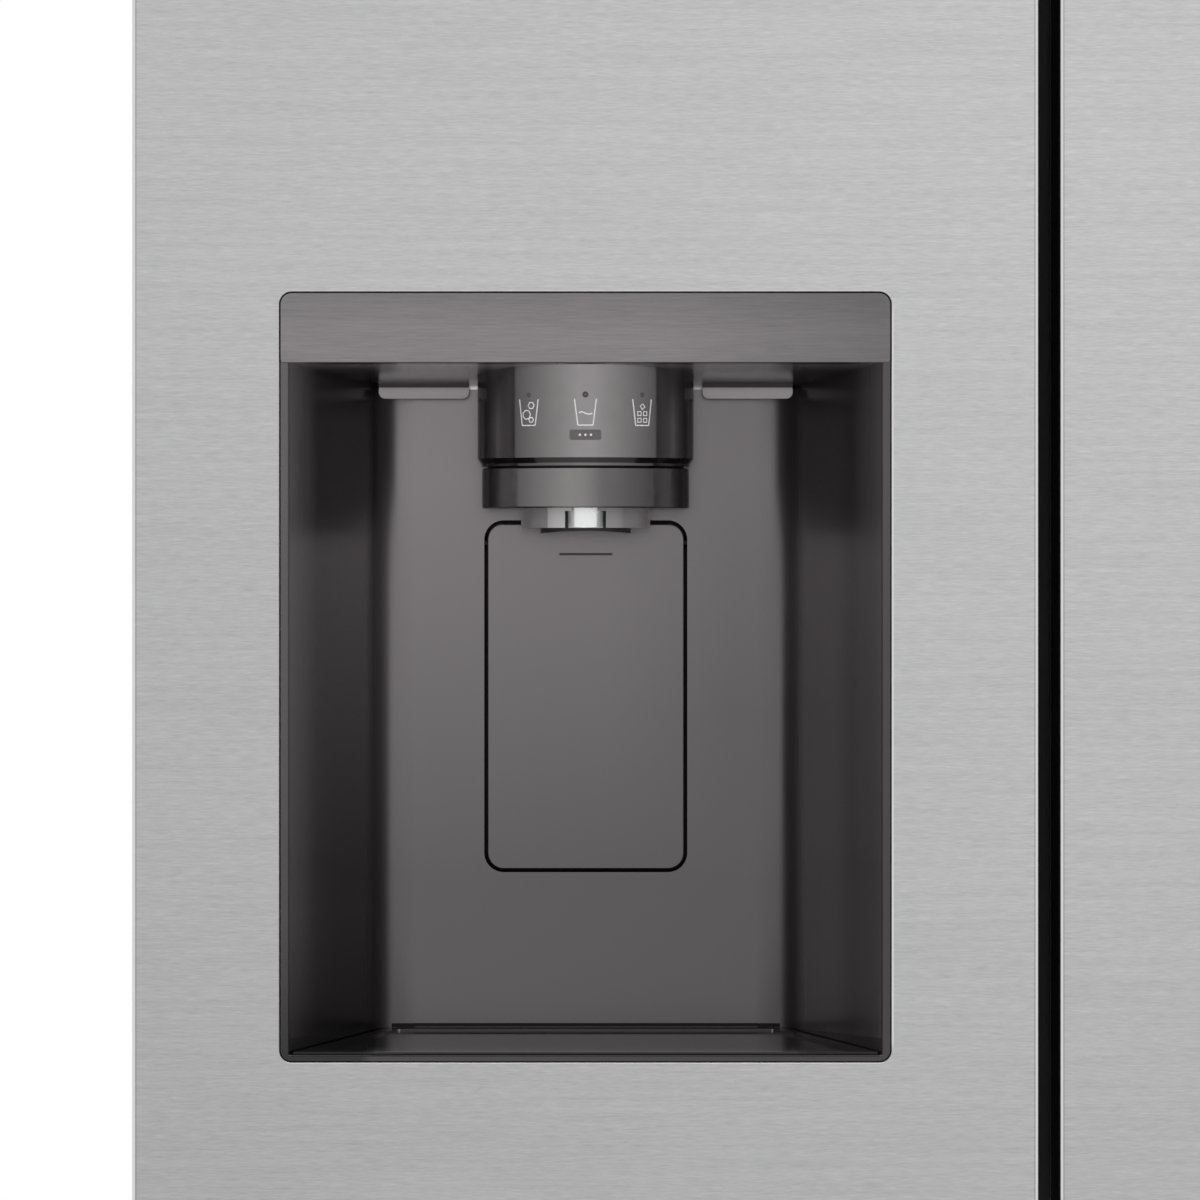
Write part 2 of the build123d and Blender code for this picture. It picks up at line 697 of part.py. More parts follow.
def kick_grille():
    x = inset(CASE_X, GRILLE_END)
    y = (CASE_FRONT_Y - GRILLE_DEPTH, CASE_FRONT_Y)
    grille = block(x, y, (GRILLE_BOTTOM, GRILLE_TOP))
    grille = fillet(grille.edges().group_by(Axis.Y)[0], GRILLE_WALL)
    hollow_z = (GRILLE_BOTTOM + GRILLE_WALL, GRILLE_TOP - GRILLE_WALL)
    grille -= block(inset(x, GRILLE_WALL), (y[0] + GRILLE_WALL, y[1]), hollow_z)
    slots = pattern(SlotOverall(*GRILLE_SLOT), GRILLE_SLOT_PITCH, GRILLE_SLOT_COUNT)
    return grille - backward(slots, 0, middle((GRILLE_BOTTOM, GRILLE_TOP)), (y[0], y[0] + GRILLE_WALL))


# Machine room contents
def compressor():
    """A welded compressor pot on its foot plate and bushes, with its terminal box."""
    x = COMPRESSOR_X
    y = middle((MACHINE_FRONT_Y, CASE_BACK_Y))
    foot_z = TRAY_TOP + COMPRESSOR_BUSH_HEIGHT
    pot_z = (foot_z + COMPRESSOR_FOOT[2] / 2, foot_z + COMPRESSOR_HEIGHT)
    pot = rod_z(COMPRESSOR_RADIUS, x, y, pot_z)
    pot = fillet(pot.edges().filter_by(GeomType.CIRCLE), COMPRESSOR_DOME)
    seam_z = middle(pot_z)
    half_seam = COMPRESSOR_SEAM / 2
    pot += rod_z(COMPRESSOR_RADIUS + COMPRESSOR_SEAM, x, y, (seam_z - half_seam, seam_z + half_seam))
    plate = RectangleRounded(COMPRESSOR_FOOT[0], COMPRESSOR_FOOT[1], COMPRESSOR_BUSH)
    pot += rise(Pos(x, y) * plate, (foot_z, foot_z + COMPRESSOR_FOOT[2]))
    spread = (COMPRESSOR_FOOT[0] - 3 * COMPRESSOR_BUSH, COMPRESSOR_FOOT[1] - 3 * COMPRESSOR_BUSH)
    bushes = Pos(x, y) * pattern(Circle(COMPRESSOR_BUSH), spread, (2, 2))
    pot += rise(bushes, (TRAY_TOP, foot_z + COMPRESSOR_FOOT[2] / 2))
    box = fillet(Box(*COMPRESSOR_BOX).edges().filter_by(Axis.X), COMPRESSOR_SEAM)
    return pot + Pos(x + COMPRESSOR_RADIUS, y, seam_z) * box


def condenser_coil():
    """A bent steel tube held by two end plates that stand on the drain pan's edges."""
    y = middle((MACHINE_FRONT_Y, CASE_BACK_Y))
    first_z = TRAY_TOP + DRAIN_PAN[2] + CONDENSER_PITCH / 2
    tube = serpentine(CONDENSER_TUBE, CONDENSER_RUNS, CONDENSER_LENGTH, CONDENSER_PITCH)
    coil = Pos(CONDENSER_X, y, first_z) * Rot(90, 0, 0) * tube
    for way in (-1, 1):
        plate_x = CONDENSER_X + way * (CONDENSER_LENGTH / 2 - CONDENSER_PITCH)
        x = (plate_x - CONDENSER_PLATE / 2, plate_x + CONDENSER_PLATE / 2)
        half_y = DRAIN_PAN[1] / 2
        top = first_z + (CONDENSER_RUNS - 0.5) * CONDENSER_PITCH
        coil += block(x, (y - half_y, y + half_y), (TRAY_TOP + DRAIN_PAN[2], top))
    return coil


def drain_pan():
    y = middle((MACHINE_FRONT_Y, CASE_BACK_Y))
    size = (DRAIN_PAN[0], DRAIN_PAN[1])
    z = (TRAY_TOP, TRAY_TOP + DRAIN_PAN[2])
    pan = rise(Pos(CONDENSER_X, y) * RectangleRounded(*size, DRAWER_CORNER), z)
    hollow = RectangleRounded(*[side - 2 * DRAIN_PAN_WALL for side in size], DRAWER_CORNER - DRAIN_PAN_WALL)
    return pan - rise(Pos(CONDENSER_X, y) * hollow, (z[0] + DRAIN_PAN_WALL, z[1]))


def condenser_fan_frame():
    """The fan's square shroud, with the spider that carries its spindle."""
    x = (CONDENSER_FAN_X, CONDENSER_FAN_X + CONDENSER_FAN_PLATE)
    y = middle((MACHINE_FRONT_Y, CASE_BACK_Y))
    z = TRAY_TOP + CONDENSER_FAN_FRAME / 2
    face = RectangleRounded(CONDENSER_FAN_FRAME, CONDENSER_FAN_FRAME, FAN_HUB / 2)
    face -= Circle(CONDENSER_FAN_OPENING)
    face += Circle(FAN_HUB)
    for angle in (45, 135):
        face += Rot(0, 0, angle) * Rectangle(2 * CONDENSER_FAN_OPENING + FAN_ARM, FAN_ARM)
    frame = sideways(Pos(y, z) * face, x)
    spindle = FAN_AXIAL_GAP + FAN_HUB_LENGTH
    return frame + rod_x(FAN_SPINDLE, (x[0] - spindle, middle(x)), y, z)


def condenser_fan():
    x = CONDENSER_FAN_X - FAN_AXIAL_GAP - FAN_HUB_LENGTH / 2
    y = middle((MACHINE_FRONT_Y, CASE_BACK_Y))
    wheel = fan_wheel(CONDENSER_FAN_OPENING - FAN_TIP_GAP)
    return Pos(x, y, TRAY_TOP + CONDENSER_FAN_FRAME / 2) * Rot(0, 90, 0) * wheel


def water_valve():
    """The inlet valve on its bracket, with the threaded stub for the supply pipe."""
    end_y = CASE_BACK_Y - INLET_SETBACK
    body_y = (end_y - INLET_LENGTH - VALVE_BODY[1], end_y - INLET_LENGTH)
    x = (VALVE_X - VALVE_BODY[0] / 2, VALVE_X + VALVE_BODY[0] / 2)
    z = (VALVE_HEIGHT - VALVE_BODY[2] / 2, VALVE_HEIGHT + VALVE_BODY[2] / 2)
    valve = fillet(block(x, body_y, z).edges(), VALVE_BRACKET)
    valve += rod_y(INLET_RADIUS, VALVE_X, (middle(body_y), end_y), VALVE_HEIGHT)
    valve += rod_z(VALVE_COIL, VALVE_X, middle(body_y), (VALVE_HEIGHT, z[1] + VALVE_BODY[2]))
    bracket_y = (body_y[0] - VALVE_BRACKET, body_y[0] + VALVE_BRACKET)
    valve += block(x, bracket_y, (TRAY_TOP, z[1]))
    return valve + block(x, body_y, (TRAY_TOP, TRAY_TOP + VALVE_BRACKET))


def machine_cover():
    """The slotted plate over the machine room, with the pipe window and the cord hole."""
    y = (BACK_SHEET_Y - COVER_SHEET, BACK_SHEET_Y)
    z = (TRAY_LEVEL, MACHINE_TOP)
    cover = block(CASE_INSIDE_X, y, z)
    slots = pattern(SlotOverall(*COVER_SLOT), COVER_SLOT_PITCH, COVER_SLOT_COUNT)
    cover -= backward(slots, 0, middle(z), y)
    cover -= backward(Circle(INLET_WINDOW), VALVE_X, VALVE_HEIGHT, y)
    return cover - backward(Circle(CORD_HOLE), CORD_HOLE_X, CORD_HOLE_HEIGHT, y)


# Inside the freezer compartment
def evaporator_cover():
    """The rear wall of the freezer, with its air slots, fan opening and fan spider."""
    x = inset(FREEZER_X, EVAPORATOR_COVER_GAP)
    y = (COVER_Y, COVER_Y + EVAPORATOR_COVER)
    z = (STEP_TOP, CEILING - EVAPORATOR_COVER_GAP)
    cover = block(x, y, z)
    cover = fillet(cover.edges().filter_by(Axis.Y).group_by(Axis.Z)[-1], LINER_CORNER)
    centre = middle(x)
    fan_face = Circle(EVAPORATOR_FAN_OPENING) - Circle(FAN_HUB)
    for angle in (0, 60, 120):
        fan_face -= Rot(0, 0, angle) * Rectangle(2 * EVAPORATOR_FAN_OPENING, FAN_ARM)
    cover -= backward(fan_face, centre, EVAPORATOR_FAN_HEIGHT, y)
    slots = pattern(SlotOverall(*VENT_SLOT), (VENT_PITCH, VENT_PITCH), (1, VENT_ROWS))
    cover -= backward(slots, centre, VENT_HEIGHT, y)
    spindle = FAN_AXIAL_GAP + FAN_HUB_LENGTH
    return cover + rod_y(FAN_SPINDLE, centre, (middle(y), y[1] + spindle), EVAPORATOR_FAN_HEIGHT)


def evaporator_fan():
    y = COVER_Y + EVAPORATOR_COVER + FAN_AXIAL_GAP + FAN_HUB_LENGTH / 2
    wheel = fan_wheel(EVAPORATOR_FAN_OPENING - FAN_TIP_GAP)
    return Pos(middle(FREEZER_X), y, EVAPORATOR_FAN_HEIGHT) * Rot(90, 0, 0) * wheel


def evaporator_coil():
    """The cold coil between two end plates that stand on the step of the liner."""
    y = middle((COVER_Y + EVAPORATOR_COVER, REAR_Y))
    first_z = STEP_TOP + EVAPORATOR_FOOT
    tube = serpentine(EVAPORATOR_TUBE, EVAPORATOR_RUNS, EVAPORATOR_WIDTH, EVAPORATOR_PITCH)
    coil = Pos(middle(FREEZER_X), y, first_z) * Rot(90, 0, 0) * tube
    for way in (-1, 1):
        plate_x = middle(FREEZER_X) + way * (EVAPORATOR_WIDTH / 2 - EVAPORATOR_PITCH)
        x = (plate_x - EVAPORATOR_PLATE / 2, plate_x + EVAPORATOR_PLATE / 2)
        half_y = EVAPORATOR_SPACE / 2 - EVAPORATOR_COVER
        top = first_z + (EVAPORATOR_RUNS - 0.5) * EVAPORATOR_PITCH
        coil += block(x, (y - half_y, REAR_Y), (STEP_TOP, top))
    return coil


def freezer_shelf(level):
    x = inset(FREEZER_X, SHELF_SIDE_GAP)
    y = (SHELF_FRONT_Y, COVER_Y - SHELF_SIDE_GAP)
    shelf = block(x, y, (level, level + SHELF_THICKNESS))
    lip = block(x, (y[0], y[0] + SHELF_THICKNESS), (level, level + SHELF_LIP))
    lip = fillet(lip.edges().filter_by(Axis.X), SHELF_THICKNESS / 3)
    return shelf + lip


def drawer(x, level):
    """A moulded drawer with a thick front and a finger slot below its edge."""
    side = inset(x, DRAWER_SIDE_GAP)
    y = (SHELF_FRONT_Y, STEP_FRONT_Y - DRAWER_GAP)
    z = (level, level + drawer_height())
    tub = fillet(upright_edges(block(side, y, z)), DRAWER_CORNER)
    tub = fillet(tub.edges().group_by(Axis.Z)[0], DRAWER_FOOT_ROUND)
    inner_y = (y[0] + DRAWER_FRONT, y[1] - DRAWER_WALL)
    hollow = block(inset(side, DRAWER_WALL), inner_y, (z[0] + DRAWER_WALL, z[1]))
    hollow = fillet(upright_edges(hollow), DRAWER_CORNER - DRAWER_WALL)
    tub -= fillet(hollow.edges().group_by(Axis.Z)[0], DRAWER_FOOT_ROUND - DRAWER_WALL)
    width, depth, height = DRAWER_PULL
    pull = fillet(Box(width, 2 * depth, height).edges().filter_by(Axis.Y), height / 2.5)
    return tub - Pos(middle(side), y[0], z[1] - DRAWER_PULL_DROP - height / 2) * pull


def drawers(x):
    return [drawer(x, COMPARTMENT_FLOOR), drawer(x, upper_drawer_level())]


# Inside the refrigerator compartment
def shelf_outer():
    return inset(FRIDGE_X, SHELF_SIDE_GAP), (SHELF_FRONT_Y, REAR_Y - SHELF_SIDE_GAP)


def shelf_frame(level):
    """A moulded rim with a rebate for the glass."""
    x, y = shelf_outer()
    z = (level, level + SHELF_FRAME_HEIGHT)
    frame = fillet(rear_uprights(block(x, y, z)), LINER_CORNER)
    frame = fillet(frame.edges().filter_by(Axis.X).group_by(Axis.Y)[0], SHELF_FRAME_HEIGHT / 3)
    frame -= block(inset(x, SHELF_FRAME), inset(y, SHELF_FRAME), z)
    pane = SHELF_FRAME - GLASS_REBATE
    return frame - block(inset(x, pane), inset(y, pane), (z[1] - GLASS, z[1]))


def shelf_glass(level):
    x, y = shelf_outer()
    top = level + SHELF_FRAME_HEIGHT
    pane = SHELF_FRAME - GLASS_REBATE + GLASS_FIT
    return block(inset(x, pane), inset(y, pane), (top - GLASS, top))


def interior_lamp(x):
    width, depth, height = INTERIOR_LAMP
    y = CASE_FRONT_Y + INTERIOR_LAMP_SETBACK + depth / 2
    face = Pos(middle(x), y) * RectangleRounded(width, depth, INTERIOR_LAMP_ROUND)
    lens = rise(face, (CEILING - height, CEILING))
    return fillet(lens.edges().group_by(Axis.Z)[0], height / 3)


# Hinges
def hinge_foot_x(door):
    outer = door.hinge_side + door.way * HINGE_COVER_MARGIN
    return sorted((outer, outer + door.way * HINGE_FOOT_WIDTH))


def top_hinge(door):
    """A plate on the cabinet top that tapers forward to the pin over the door."""
    foot_x = hinge_foot_x(door)
    foot_y = (CASE_FRONT_Y + HINGE_COVER_MARGIN, CASE_FRONT_Y + HINGE_FOOT_DEPTH)
    foot = Pos(middle(foot_x), middle(foot_y)) * Rectangle(foot_x[1] - foot_x[0], foot_y[1] - foot_y[0])
    boss = Pos(door.pivot, PIVOT_Y) * Circle(HINGE_BOSS)
    plate = rise(make_hull(foot.edges() + boss.edges()), (CASE_TOP, CASE_TOP + HINGE_PLATE))
    return plate + rod_z(PIN_RADIUS, door.pivot, PIVOT_Y, (DOOR_TOP - PIN_LENGTH, CASE_TOP + HINGE_PLATE))


def hinge_cover(door):
    """A moulded cap over the top hinge."""
    x = inset(hinge_foot_x(door), -HINGE_COVER_MARGIN)
    y = (PIVOT_Y - HINGE_BOSS - HINGE_COVER_MARGIN, CASE_FRONT_Y + HINGE_FOOT_DEPTH + HINGE_COVER_MARGIN)
    z = (CASE_TOP, CASE_TOP + HINGE_COVER_HEIGHT)
    cap = fillet(upright_edges(block(x, y, z)), 2 * HINGE_COVER_MARGIN)
    cap = fillet(cap.edges().group_by(Axis.Z)[-1], HINGE_COVER_MARGIN)
    hollow = block(inset(x, HINGE_COVER_WALL), inset(y, HINGE_COVER_WALL), (z[0], z[1] - HINGE_COVER_WALL))
    hollow = fillet(upright_edges(hollow), 2 * HINGE_COVER_MARGIN - HINGE_COVER_WALL)
    return cap - fillet(hollow.edges().group_by(Axis.Z)[-1], HINGE_COVER_MARGIN - HINGE_COVER_WALL)


def bottom_hinge(door):
    """A bracket on the front of the base with the pin and collar that carry the door."""
    foot_x = hinge_foot_x(door)
    plate_z = (DOOR_BOTTOM - LOWER_PLATE_DROP, DOOR_BOTTOM - LOWER_PLATE_DROP + HINGE_PLATE)
    leg_y = (CASE_FRONT_Y - HINGE_PLATE, CASE_FRONT_Y)
    foot = Pos(middle(foot_x), middle(leg_y)) * Rectangle(foot_x[1] - foot_x[0], HINGE_PLATE)
    boss = Pos(door.pivot, PIVOT_Y) * Circle(HINGE_BOSS)
    bracket = rise(make_hull(foot.edges() + boss.edges()), plate_z)
    bracket += block(foot_x, leg_y, (DOOR_BOTTOM - LOWER_LEG_DROP, plate_z[1]))
    bracket += rod_z(THRUST_COLLAR, door.pivot, PIVOT_Y, (plate_z[0], DOOR_BOTTOM - SEAL_CLEARANCE))
    return bracket + rod_z(PIN_RADIUS, door.pivot, PIVOT_Y, (plate_z[0], DOOR_BOTTOM + PIN_LENGTH))


# Doors
def grip_envelope(door):
    return block(
        door.from_free(0, GRIP_REACH), (FRONT_Y + SHEET, FRONT_Y + GRIP_DEPTH), (GRIP_BOTTOM, GRIP_TOP)
    )


def door_skin(door):
    """The folded steel front, with its mouth for the pull grip."""
    x = (min(door.hinge_side, door.free_side), max(door.hinge_side, door.free_side))
    outer = block(x, (FRONT_Y, SKIN_BACK_Y), DOOR_Z)
    outer = fillet(front_uprights(outer), SHEET_BEND)
    inner = block(inset(x, SHEET), (FRONT_Y + SHEET, SKIN_BACK_Y), DOOR_Z)
    inner = fillet(front_uprights(inner), SHEET_BEND - SHEET)
    mouth = block(door.from_free(0, GRIP_MOUTH), (FRONT_Y, FRONT_Y + GRIP_DEPTH), (GRIP_BOTTOM, GRIP_TOP))
    return outer - inner - mouth


def door_grip(door):
    """A moulded pocket behind the edge of the door skin, open to the front and to the gap between doors."""
    pocket_z = (GRIP_BOTTOM + GRIP_WALL, GRIP_TOP - GRIP_WALL)
    shell = grip_envelope(door)
    face_y = FRONT_Y + SHEET
    pocket = block(
        door.from_free(-GRIP_ROUND, GRIP_REACH - GRIP_WALL),
        (face_y + GRIP_WALL, FRONT_Y + GRIP_DEPTH - GRIP_WALL),
        pocket_z,
    )
    pocket = fillet(upright_edges(pocket), GRIP_ROUND)
    mouth = block(door.from_free(0, GRIP_MOUTH), (FRONT_Y, face_y + GRIP_DEPTH / 2), pocket_z)
    side = block(door.from_free(0, GRIP_ROUND), (FRONT_Y, FRONT_Y + GRIP_DEPTH - GRIP_WALL), pocket_z)
    return shell - pocket - mouth - side


def door_core(door):
    core = block(door.span(SHEET, SHEET), (FRONT_Y + SHEET, SKIN_BACK_Y), DOOR_CORE_Z)
    return fillet(front_uprights(core), SHEET_BEND - SHEET) - grip_envelope(door)


def door_caps(door):
    """The end caps that close the skin and carry the hinge bores."""
    x = door.span(SHEET, SHEET)
    caps = []
    for z in ((DOOR_BOTTOM, DOOR_BOTTOM + DOOR_CAP), (DOOR_TOP - DOOR_CAP, DOOR_TOP)):
        cap = block(x, (FRONT_Y + SHEET, SKIN_BACK_Y), z)
        cap = fillet(front_uprights(cap), SHEET_BEND - SHEET)
        caps.append(cap - rod_z(PIN_RADIUS + RUNNING_FIT, door.pivot, PIVOT_Y, z))
    return caps


def dyke(base_x, way):
    """One upright ridge of the door liner that holds the bins."""
    draft = (DYKE_BASE - DYKE_CREST) / 2
    base_y = DOOR_BACK_Y - DOOR_LINER / 2
    crest_y = DOOR_BACK_Y + DYKE_HEIGHT
    face = outline(
        (base_x, base_y),
        (base_x + way * DYKE_BASE, base_y),
        (base_x + way * DYKE_BASE, DOOR_BACK_Y),
        (base_x + way * (DYKE_BASE - draft), crest_y),
        (base_x + way * draft, crest_y),
        (base_x, DOOR_BACK_Y),
    )
    ridge = rise(face, (DYKE_BOTTOM, DYKE_TOP))
    return fillet(rear_uprights(ridge), draft)


def door_liner(door):
    x = (min(door.hinge_side, door.free_side), max(door.hinge_side, door.free_side))
    panel = block(x, (SKIN_BACK_Y, DOOR_BACK_Y), DOOR_Z)
    return panel + dyke(door.dykes[0], door.way) + dyke(door.dykes[1], -door.way)


def gasket_ring(x, z, y, narrowing):
    ring = block(inset(x, narrowing), y, inset(z, narrowing))
    hole = GASKET_WIDTH - narrowing
    return ring - block(inset(x, hole), y, inset(z, hole))


def door_gasket(door):
    """The bellows seal: a foot on the liner, a narrow neck and the magnet strip."""
    x = door.span(GASKET_HINGE_INSET, GASKET_FREE_INSET)
    z = (DOOR_BOTTOM + GASKET_BOTTOM_INSET, DOOR_TOP - GASKET_TOP_INSET)
    neck_y = DOOR_BACK_Y + GASKET_FOOT
    strip_y = neck_y + GASKET_BELLOWS
    gasket = gasket_ring(x, z, (DOOR_BACK_Y, neck_y), 0)
    gasket += gasket_ring(x, z, (neck_y, strip_y), (GASKET_WIDTH - GASKET_NECK) / 2)
    return gasket + gasket_ring(x, z, (strip_y, CASE_FRONT_Y - SEAL_CLEARANCE), 0)


def door_bin(door, depth, level):
    """A bin between the dykes, open above, with a rail round its rim."""
    x = door.between_dykes(BIN_FIT)
    y = (DOOR_BACK_Y, DOOR_BACK_Y + depth)
    z = (level, level + BIN_HEIGHT)
    tub = fillet(rear_uprights(block(x, y, z)), BIN_CORNER)
    hollow = block(inset(x, BIN_WALL), inset(y, BIN_WALL), (z[0] + BIN_WALL, z[1]))
    hollow = fillet(rear_uprights(hollow), BIN_CORNER - BIN_WALL)
    rail_y = (DOOR_BACK_Y + DYKE_HEIGHT + BIN_RAIL_REACH, y[1] + BIN_RAIL_REACH)
    rail = block(inset(x, -BIN_RAIL_REACH), rail_y, (z[1] - BIN_RAIL_HEIGHT, z[1]))
    rail = fillet(rear_uprights(rail), BIN_CORNER + BIN_RAIL_REACH)
    return tub + rail - hollow


def bin_rack(door, depth, pitch, ceiling):
    """As many bins as fit between the lowest place and a ceiling."""
    count = 1 + int((ceiling - BIN_HEADROOM - BIN_HEIGHT - BIN_FIRST) / pitch)
    return [door_bin(door, depth, BIN_FIRST + pitch * number) for number in range(count)]


# Dispenser housing
def dispenser_outline(grow):
    return RectangleRounded(DISPENSER_WIDTH + 2 * grow, DISPENSER_HEIGHT + 2 * grow, DISPENSER_CORNER + grow)


def dispenser_prism(grow, depths):
    y = (FRONT_Y + depths[0], FRONT_Y + depths[1])
    return backward(dispenser_outline(grow), DISPENSER_X, DISPENSER_MID_Z, y)


def freezer_door_skin():
    """The freezer door's steel front, turned in round the dispenser."""
    skin = door_skin(FREEZER_DOOR) + dispenser_prism(SHEET, (0, DISPENSER_EDGE_DEPTH))
    skin -= dispenser_prism(0, (0, DISPENSER_EDGE_DEPTH))
    front = skin.faces().filter_by(Axis.Y).group_by(Axis.Y)[0][0]
    return fillet(front.inner_wires()[0].edges(), DISPENSER_EDGE_RADIUS)


def recess_plan(wall):
    """Plan outline of the dispenser recess, splayed to the front, grown by the wall for its outside."""
    front = DISPENSER_WIDTH / 2 - DISPENSER_FIT - RECESS_RIM + wall
    back = RECESS_BACK_WIDTH / 2 + wall
    straight = DISPENSER_EDGE_DEPTH if wall else 0
    face = outline(
        (-front, 0),
        (-front, straight + RIM_SETBACK),
        (-back, RECESS_DEPTH + wall),
        (back, RECESS_DEPTH + wall),
        (front, straight + RIM_SETBACK),
        (front, 0),
    )
    corners = face.vertices().group_by(Axis.Y)[-1]
    return Pos(DISPENSER_X, FRONT_Y) * fillet(corners, RECESS_ROUND + wall)


def recess_hollow():
    """The air of the recess, under a ceiling that falls a little to the back."""
    sides = outline(
        (FRONT_Y, RECESS_FLOOR),
        (FRONT_Y, DISPENSER_CEILING),
        (RECESS_BACK_Y, DISPENSER_CEILING - CEILING_FALL),
        (RECESS_BACK_Y, RECESS_FLOOR),
    )
    width = (DISPENSER_X - DISPENSER_WIDTH / 2, DISPENSER_X + DISPENSER_WIDTH / 2)
    return rise(recess_plan(0), (RECESS_FLOOR, DISPENSER_CEILING)) & sideways(sides, width)


def paddle_room(grow):
    """The space behind the recess in which the paddle swings."""
    half = PADDLE_WIDTH / 2 + PADDLE_ROOM_MARGIN + grow
    z = (PADDLE_TOP - PADDLE_HEIGHT - PADDLE_ROOM_MARGIN - grow, PADDLE_TOP + PADDLE_ROOM_MARGIN + grow)
    y = (RECESS_BACK_Y + RECESS_WALL - grow, RECESS_BACK_Y + RECESS_WALL + PADDLE_ROOM_DEPTH + grow)
    return block((DISPENSER_X - half, DISPENSER_X + half), y, z)


def dispenser_envelope():
    """The filled outside of the dispenser housing."""
    z = (DISPENSER_BOTTOM + DISPENSER_FIT, DISPENSER_TOP - DISPENSER_FIT)
    return rise(recess_plan(RECESS_WALL), z) + paddle_room(RECESS_WALL)


def paddle_opening():
    gap = 2 * PADDLE_GAP
    face = RectangleRounded(PADDLE_WIDTH + gap, PADDLE_HEIGHT + gap, PADDLE_CORNER + PADDLE_GAP)
    y = (RECESS_BACK_Y - RECESS_WALL, RECESS_BACK_Y + 2 * RECESS_WALL)
    return backward(face, DISPENSER_X, PADDLE_MID_Z, y)


def dispenser_housing():
    """The moulded recess with its upper room, paddle room and paddle pin."""
    depth = RECESS_DEPTH + 2 * RECESS_WALL + PADDLE_ROOM_DEPTH
    housing = dispenser_envelope() & dispenser_prism(-DISPENSER_FIT, (RIM_SETBACK, depth))
    housing -= recess_hollow()
    upper = (DISPENSER_CEILING + RECESS_WALL, DISPENSER_TOP - DISPENSER_FIT - RECESS_WALL)
    housing -= rise(recess_plan(0), upper)
    fascia_y = (FRONT_Y, FRONT_Y + FASCIA_SETBACK + FASCIA_THICKNESS)
    half = DISPENSER_WIDTH / 2
    housing -= block((DISPENSER_X - half, DISPENSER_X + half), fascia_y, (DISPENSER_CEILING, DISPENSER_TOP))
    housing -= paddle_room(0) + paddle_opening()
    slot_depth, slot_height = TRAY_SLOT
    slot_half = RECESS_BACK_WIDTH / 2 - RECESS_ROUND
    slot_x = (DISPENSER_X - slot_half, DISPENSER_X + slot_half)
    slot_z = RECESS_FLOOR + TRAY_BACK
    housing -= block(slot_x, (RECESS_BACK_Y, RECESS_BACK_Y + slot_depth), (slot_z, slot_z + slot_height))
    housing -= rod_z(HEAD_RADIUS + HEAD_FIT, DISPENSER_X, HEAD_Y, (HEAD_BOTTOM, upper[0]))
    housing -= rod_z(CHUTE_MOUTH_RADIUS + CHUTE_FIT, DISPENSER_X, CHUTE_Y, (upper[0], DISPENSER_TOP))
    pin_half = PADDLE_WIDTH / 2 + PADDLE_ROOM_MARGIN + RECESS_WALL / 2
    pin_x = (DISPENSER_X - pin_half, DISPENSER_X + pin_half)
    housing += rod_x(PADDLE_PIN, pin_x, PADDLE_PIVOT_Y, PADDLE_PIVOT_Z)
    lip = housing.faces().filter_by(Axis.Y).group_by(Axis.Y)[0][0].edges()
    inner_sides = lip.filter_by(Axis.Z).sort_by_distance((DISPENSER_X, FRONT_Y, DISPENSER_MID_Z))[:2]
    floor_edge = lip.filter_by(Axis.X).group_by(Axis.Z)[1]
    return fillet(inner_sides + floor_edge, RIM_ROUND)


def dispenser_fascia():
    """The brushed strip over the top of the recess."""
    plate = dispenser_prism(-DISPENSER_FIT, (FASCIA_SETBACK, FASCIA_SETBACK + FASCIA_THICKNESS))
    half = DISPENSER_WIDTH / 2
    plate &= block(
        (DISPENSER_X - half, DISPENSER_X + half),
        (FRONT_Y, RECESS_BACK_Y),
        (DISPENSER_CEILING + DISPENSER_FIT, DISPENSER_TOP),
    )
    corners = plate.edges().filter_by(Axis.Y).group_by(Axis.Z)[0]
    return fillet(corners, FASCIA_THICKNESS / 2)


def behind_recess():
    """Everything behind the back face of the recess, at the height of the head."""
    half = DISPENSER_WIDTH / 2
    x = (DISPENSER_X - half, DISPENSER_X + half)
    return block(x, (RECESS_BACK_Y, DOOR_BACK_Y + DISPENSER_WIDTH), (DISPENSER_BOTTOM, DISPENSER_TOP))


def dispenser_head():
    """The drum that carries the touch signs."""
    top = DISPENSER_CEILING + HEAD_RISE
    bore = HEAD_RADIUS - HEAD_WALL
    land = HEAD_BOTTOM + HEAD_LAND
    bevel_width, bevel_height = HEAD_BEVEL
    drum = turned(
        DISPENSER_X,
        HEAD_Y,
        (bore, HEAD_BOTTOM),
        (HEAD_RADIUS - bevel_width, HEAD_BOTTOM),
        (HEAD_RADIUS - bevel_width, land),
        (HEAD_RADIUS, land + bevel_height),
        (HEAD_RADIUS, top),
        (bore, top),
    ) - behind_recess()
    width, depth, drop = HEAD_SLOT
    slot_x = (DISPENSER_X - width / 2, DISPENSER_X + width / 2)
    slot_y = (FRONT_Y, HEAD_Y - HEAD_RADIUS + depth)
    return drum - block(slot_x, slot_y, (DISPENSER_CEILING - drop, DISPENSER_CEILING + FASCIA_THICKNESS))


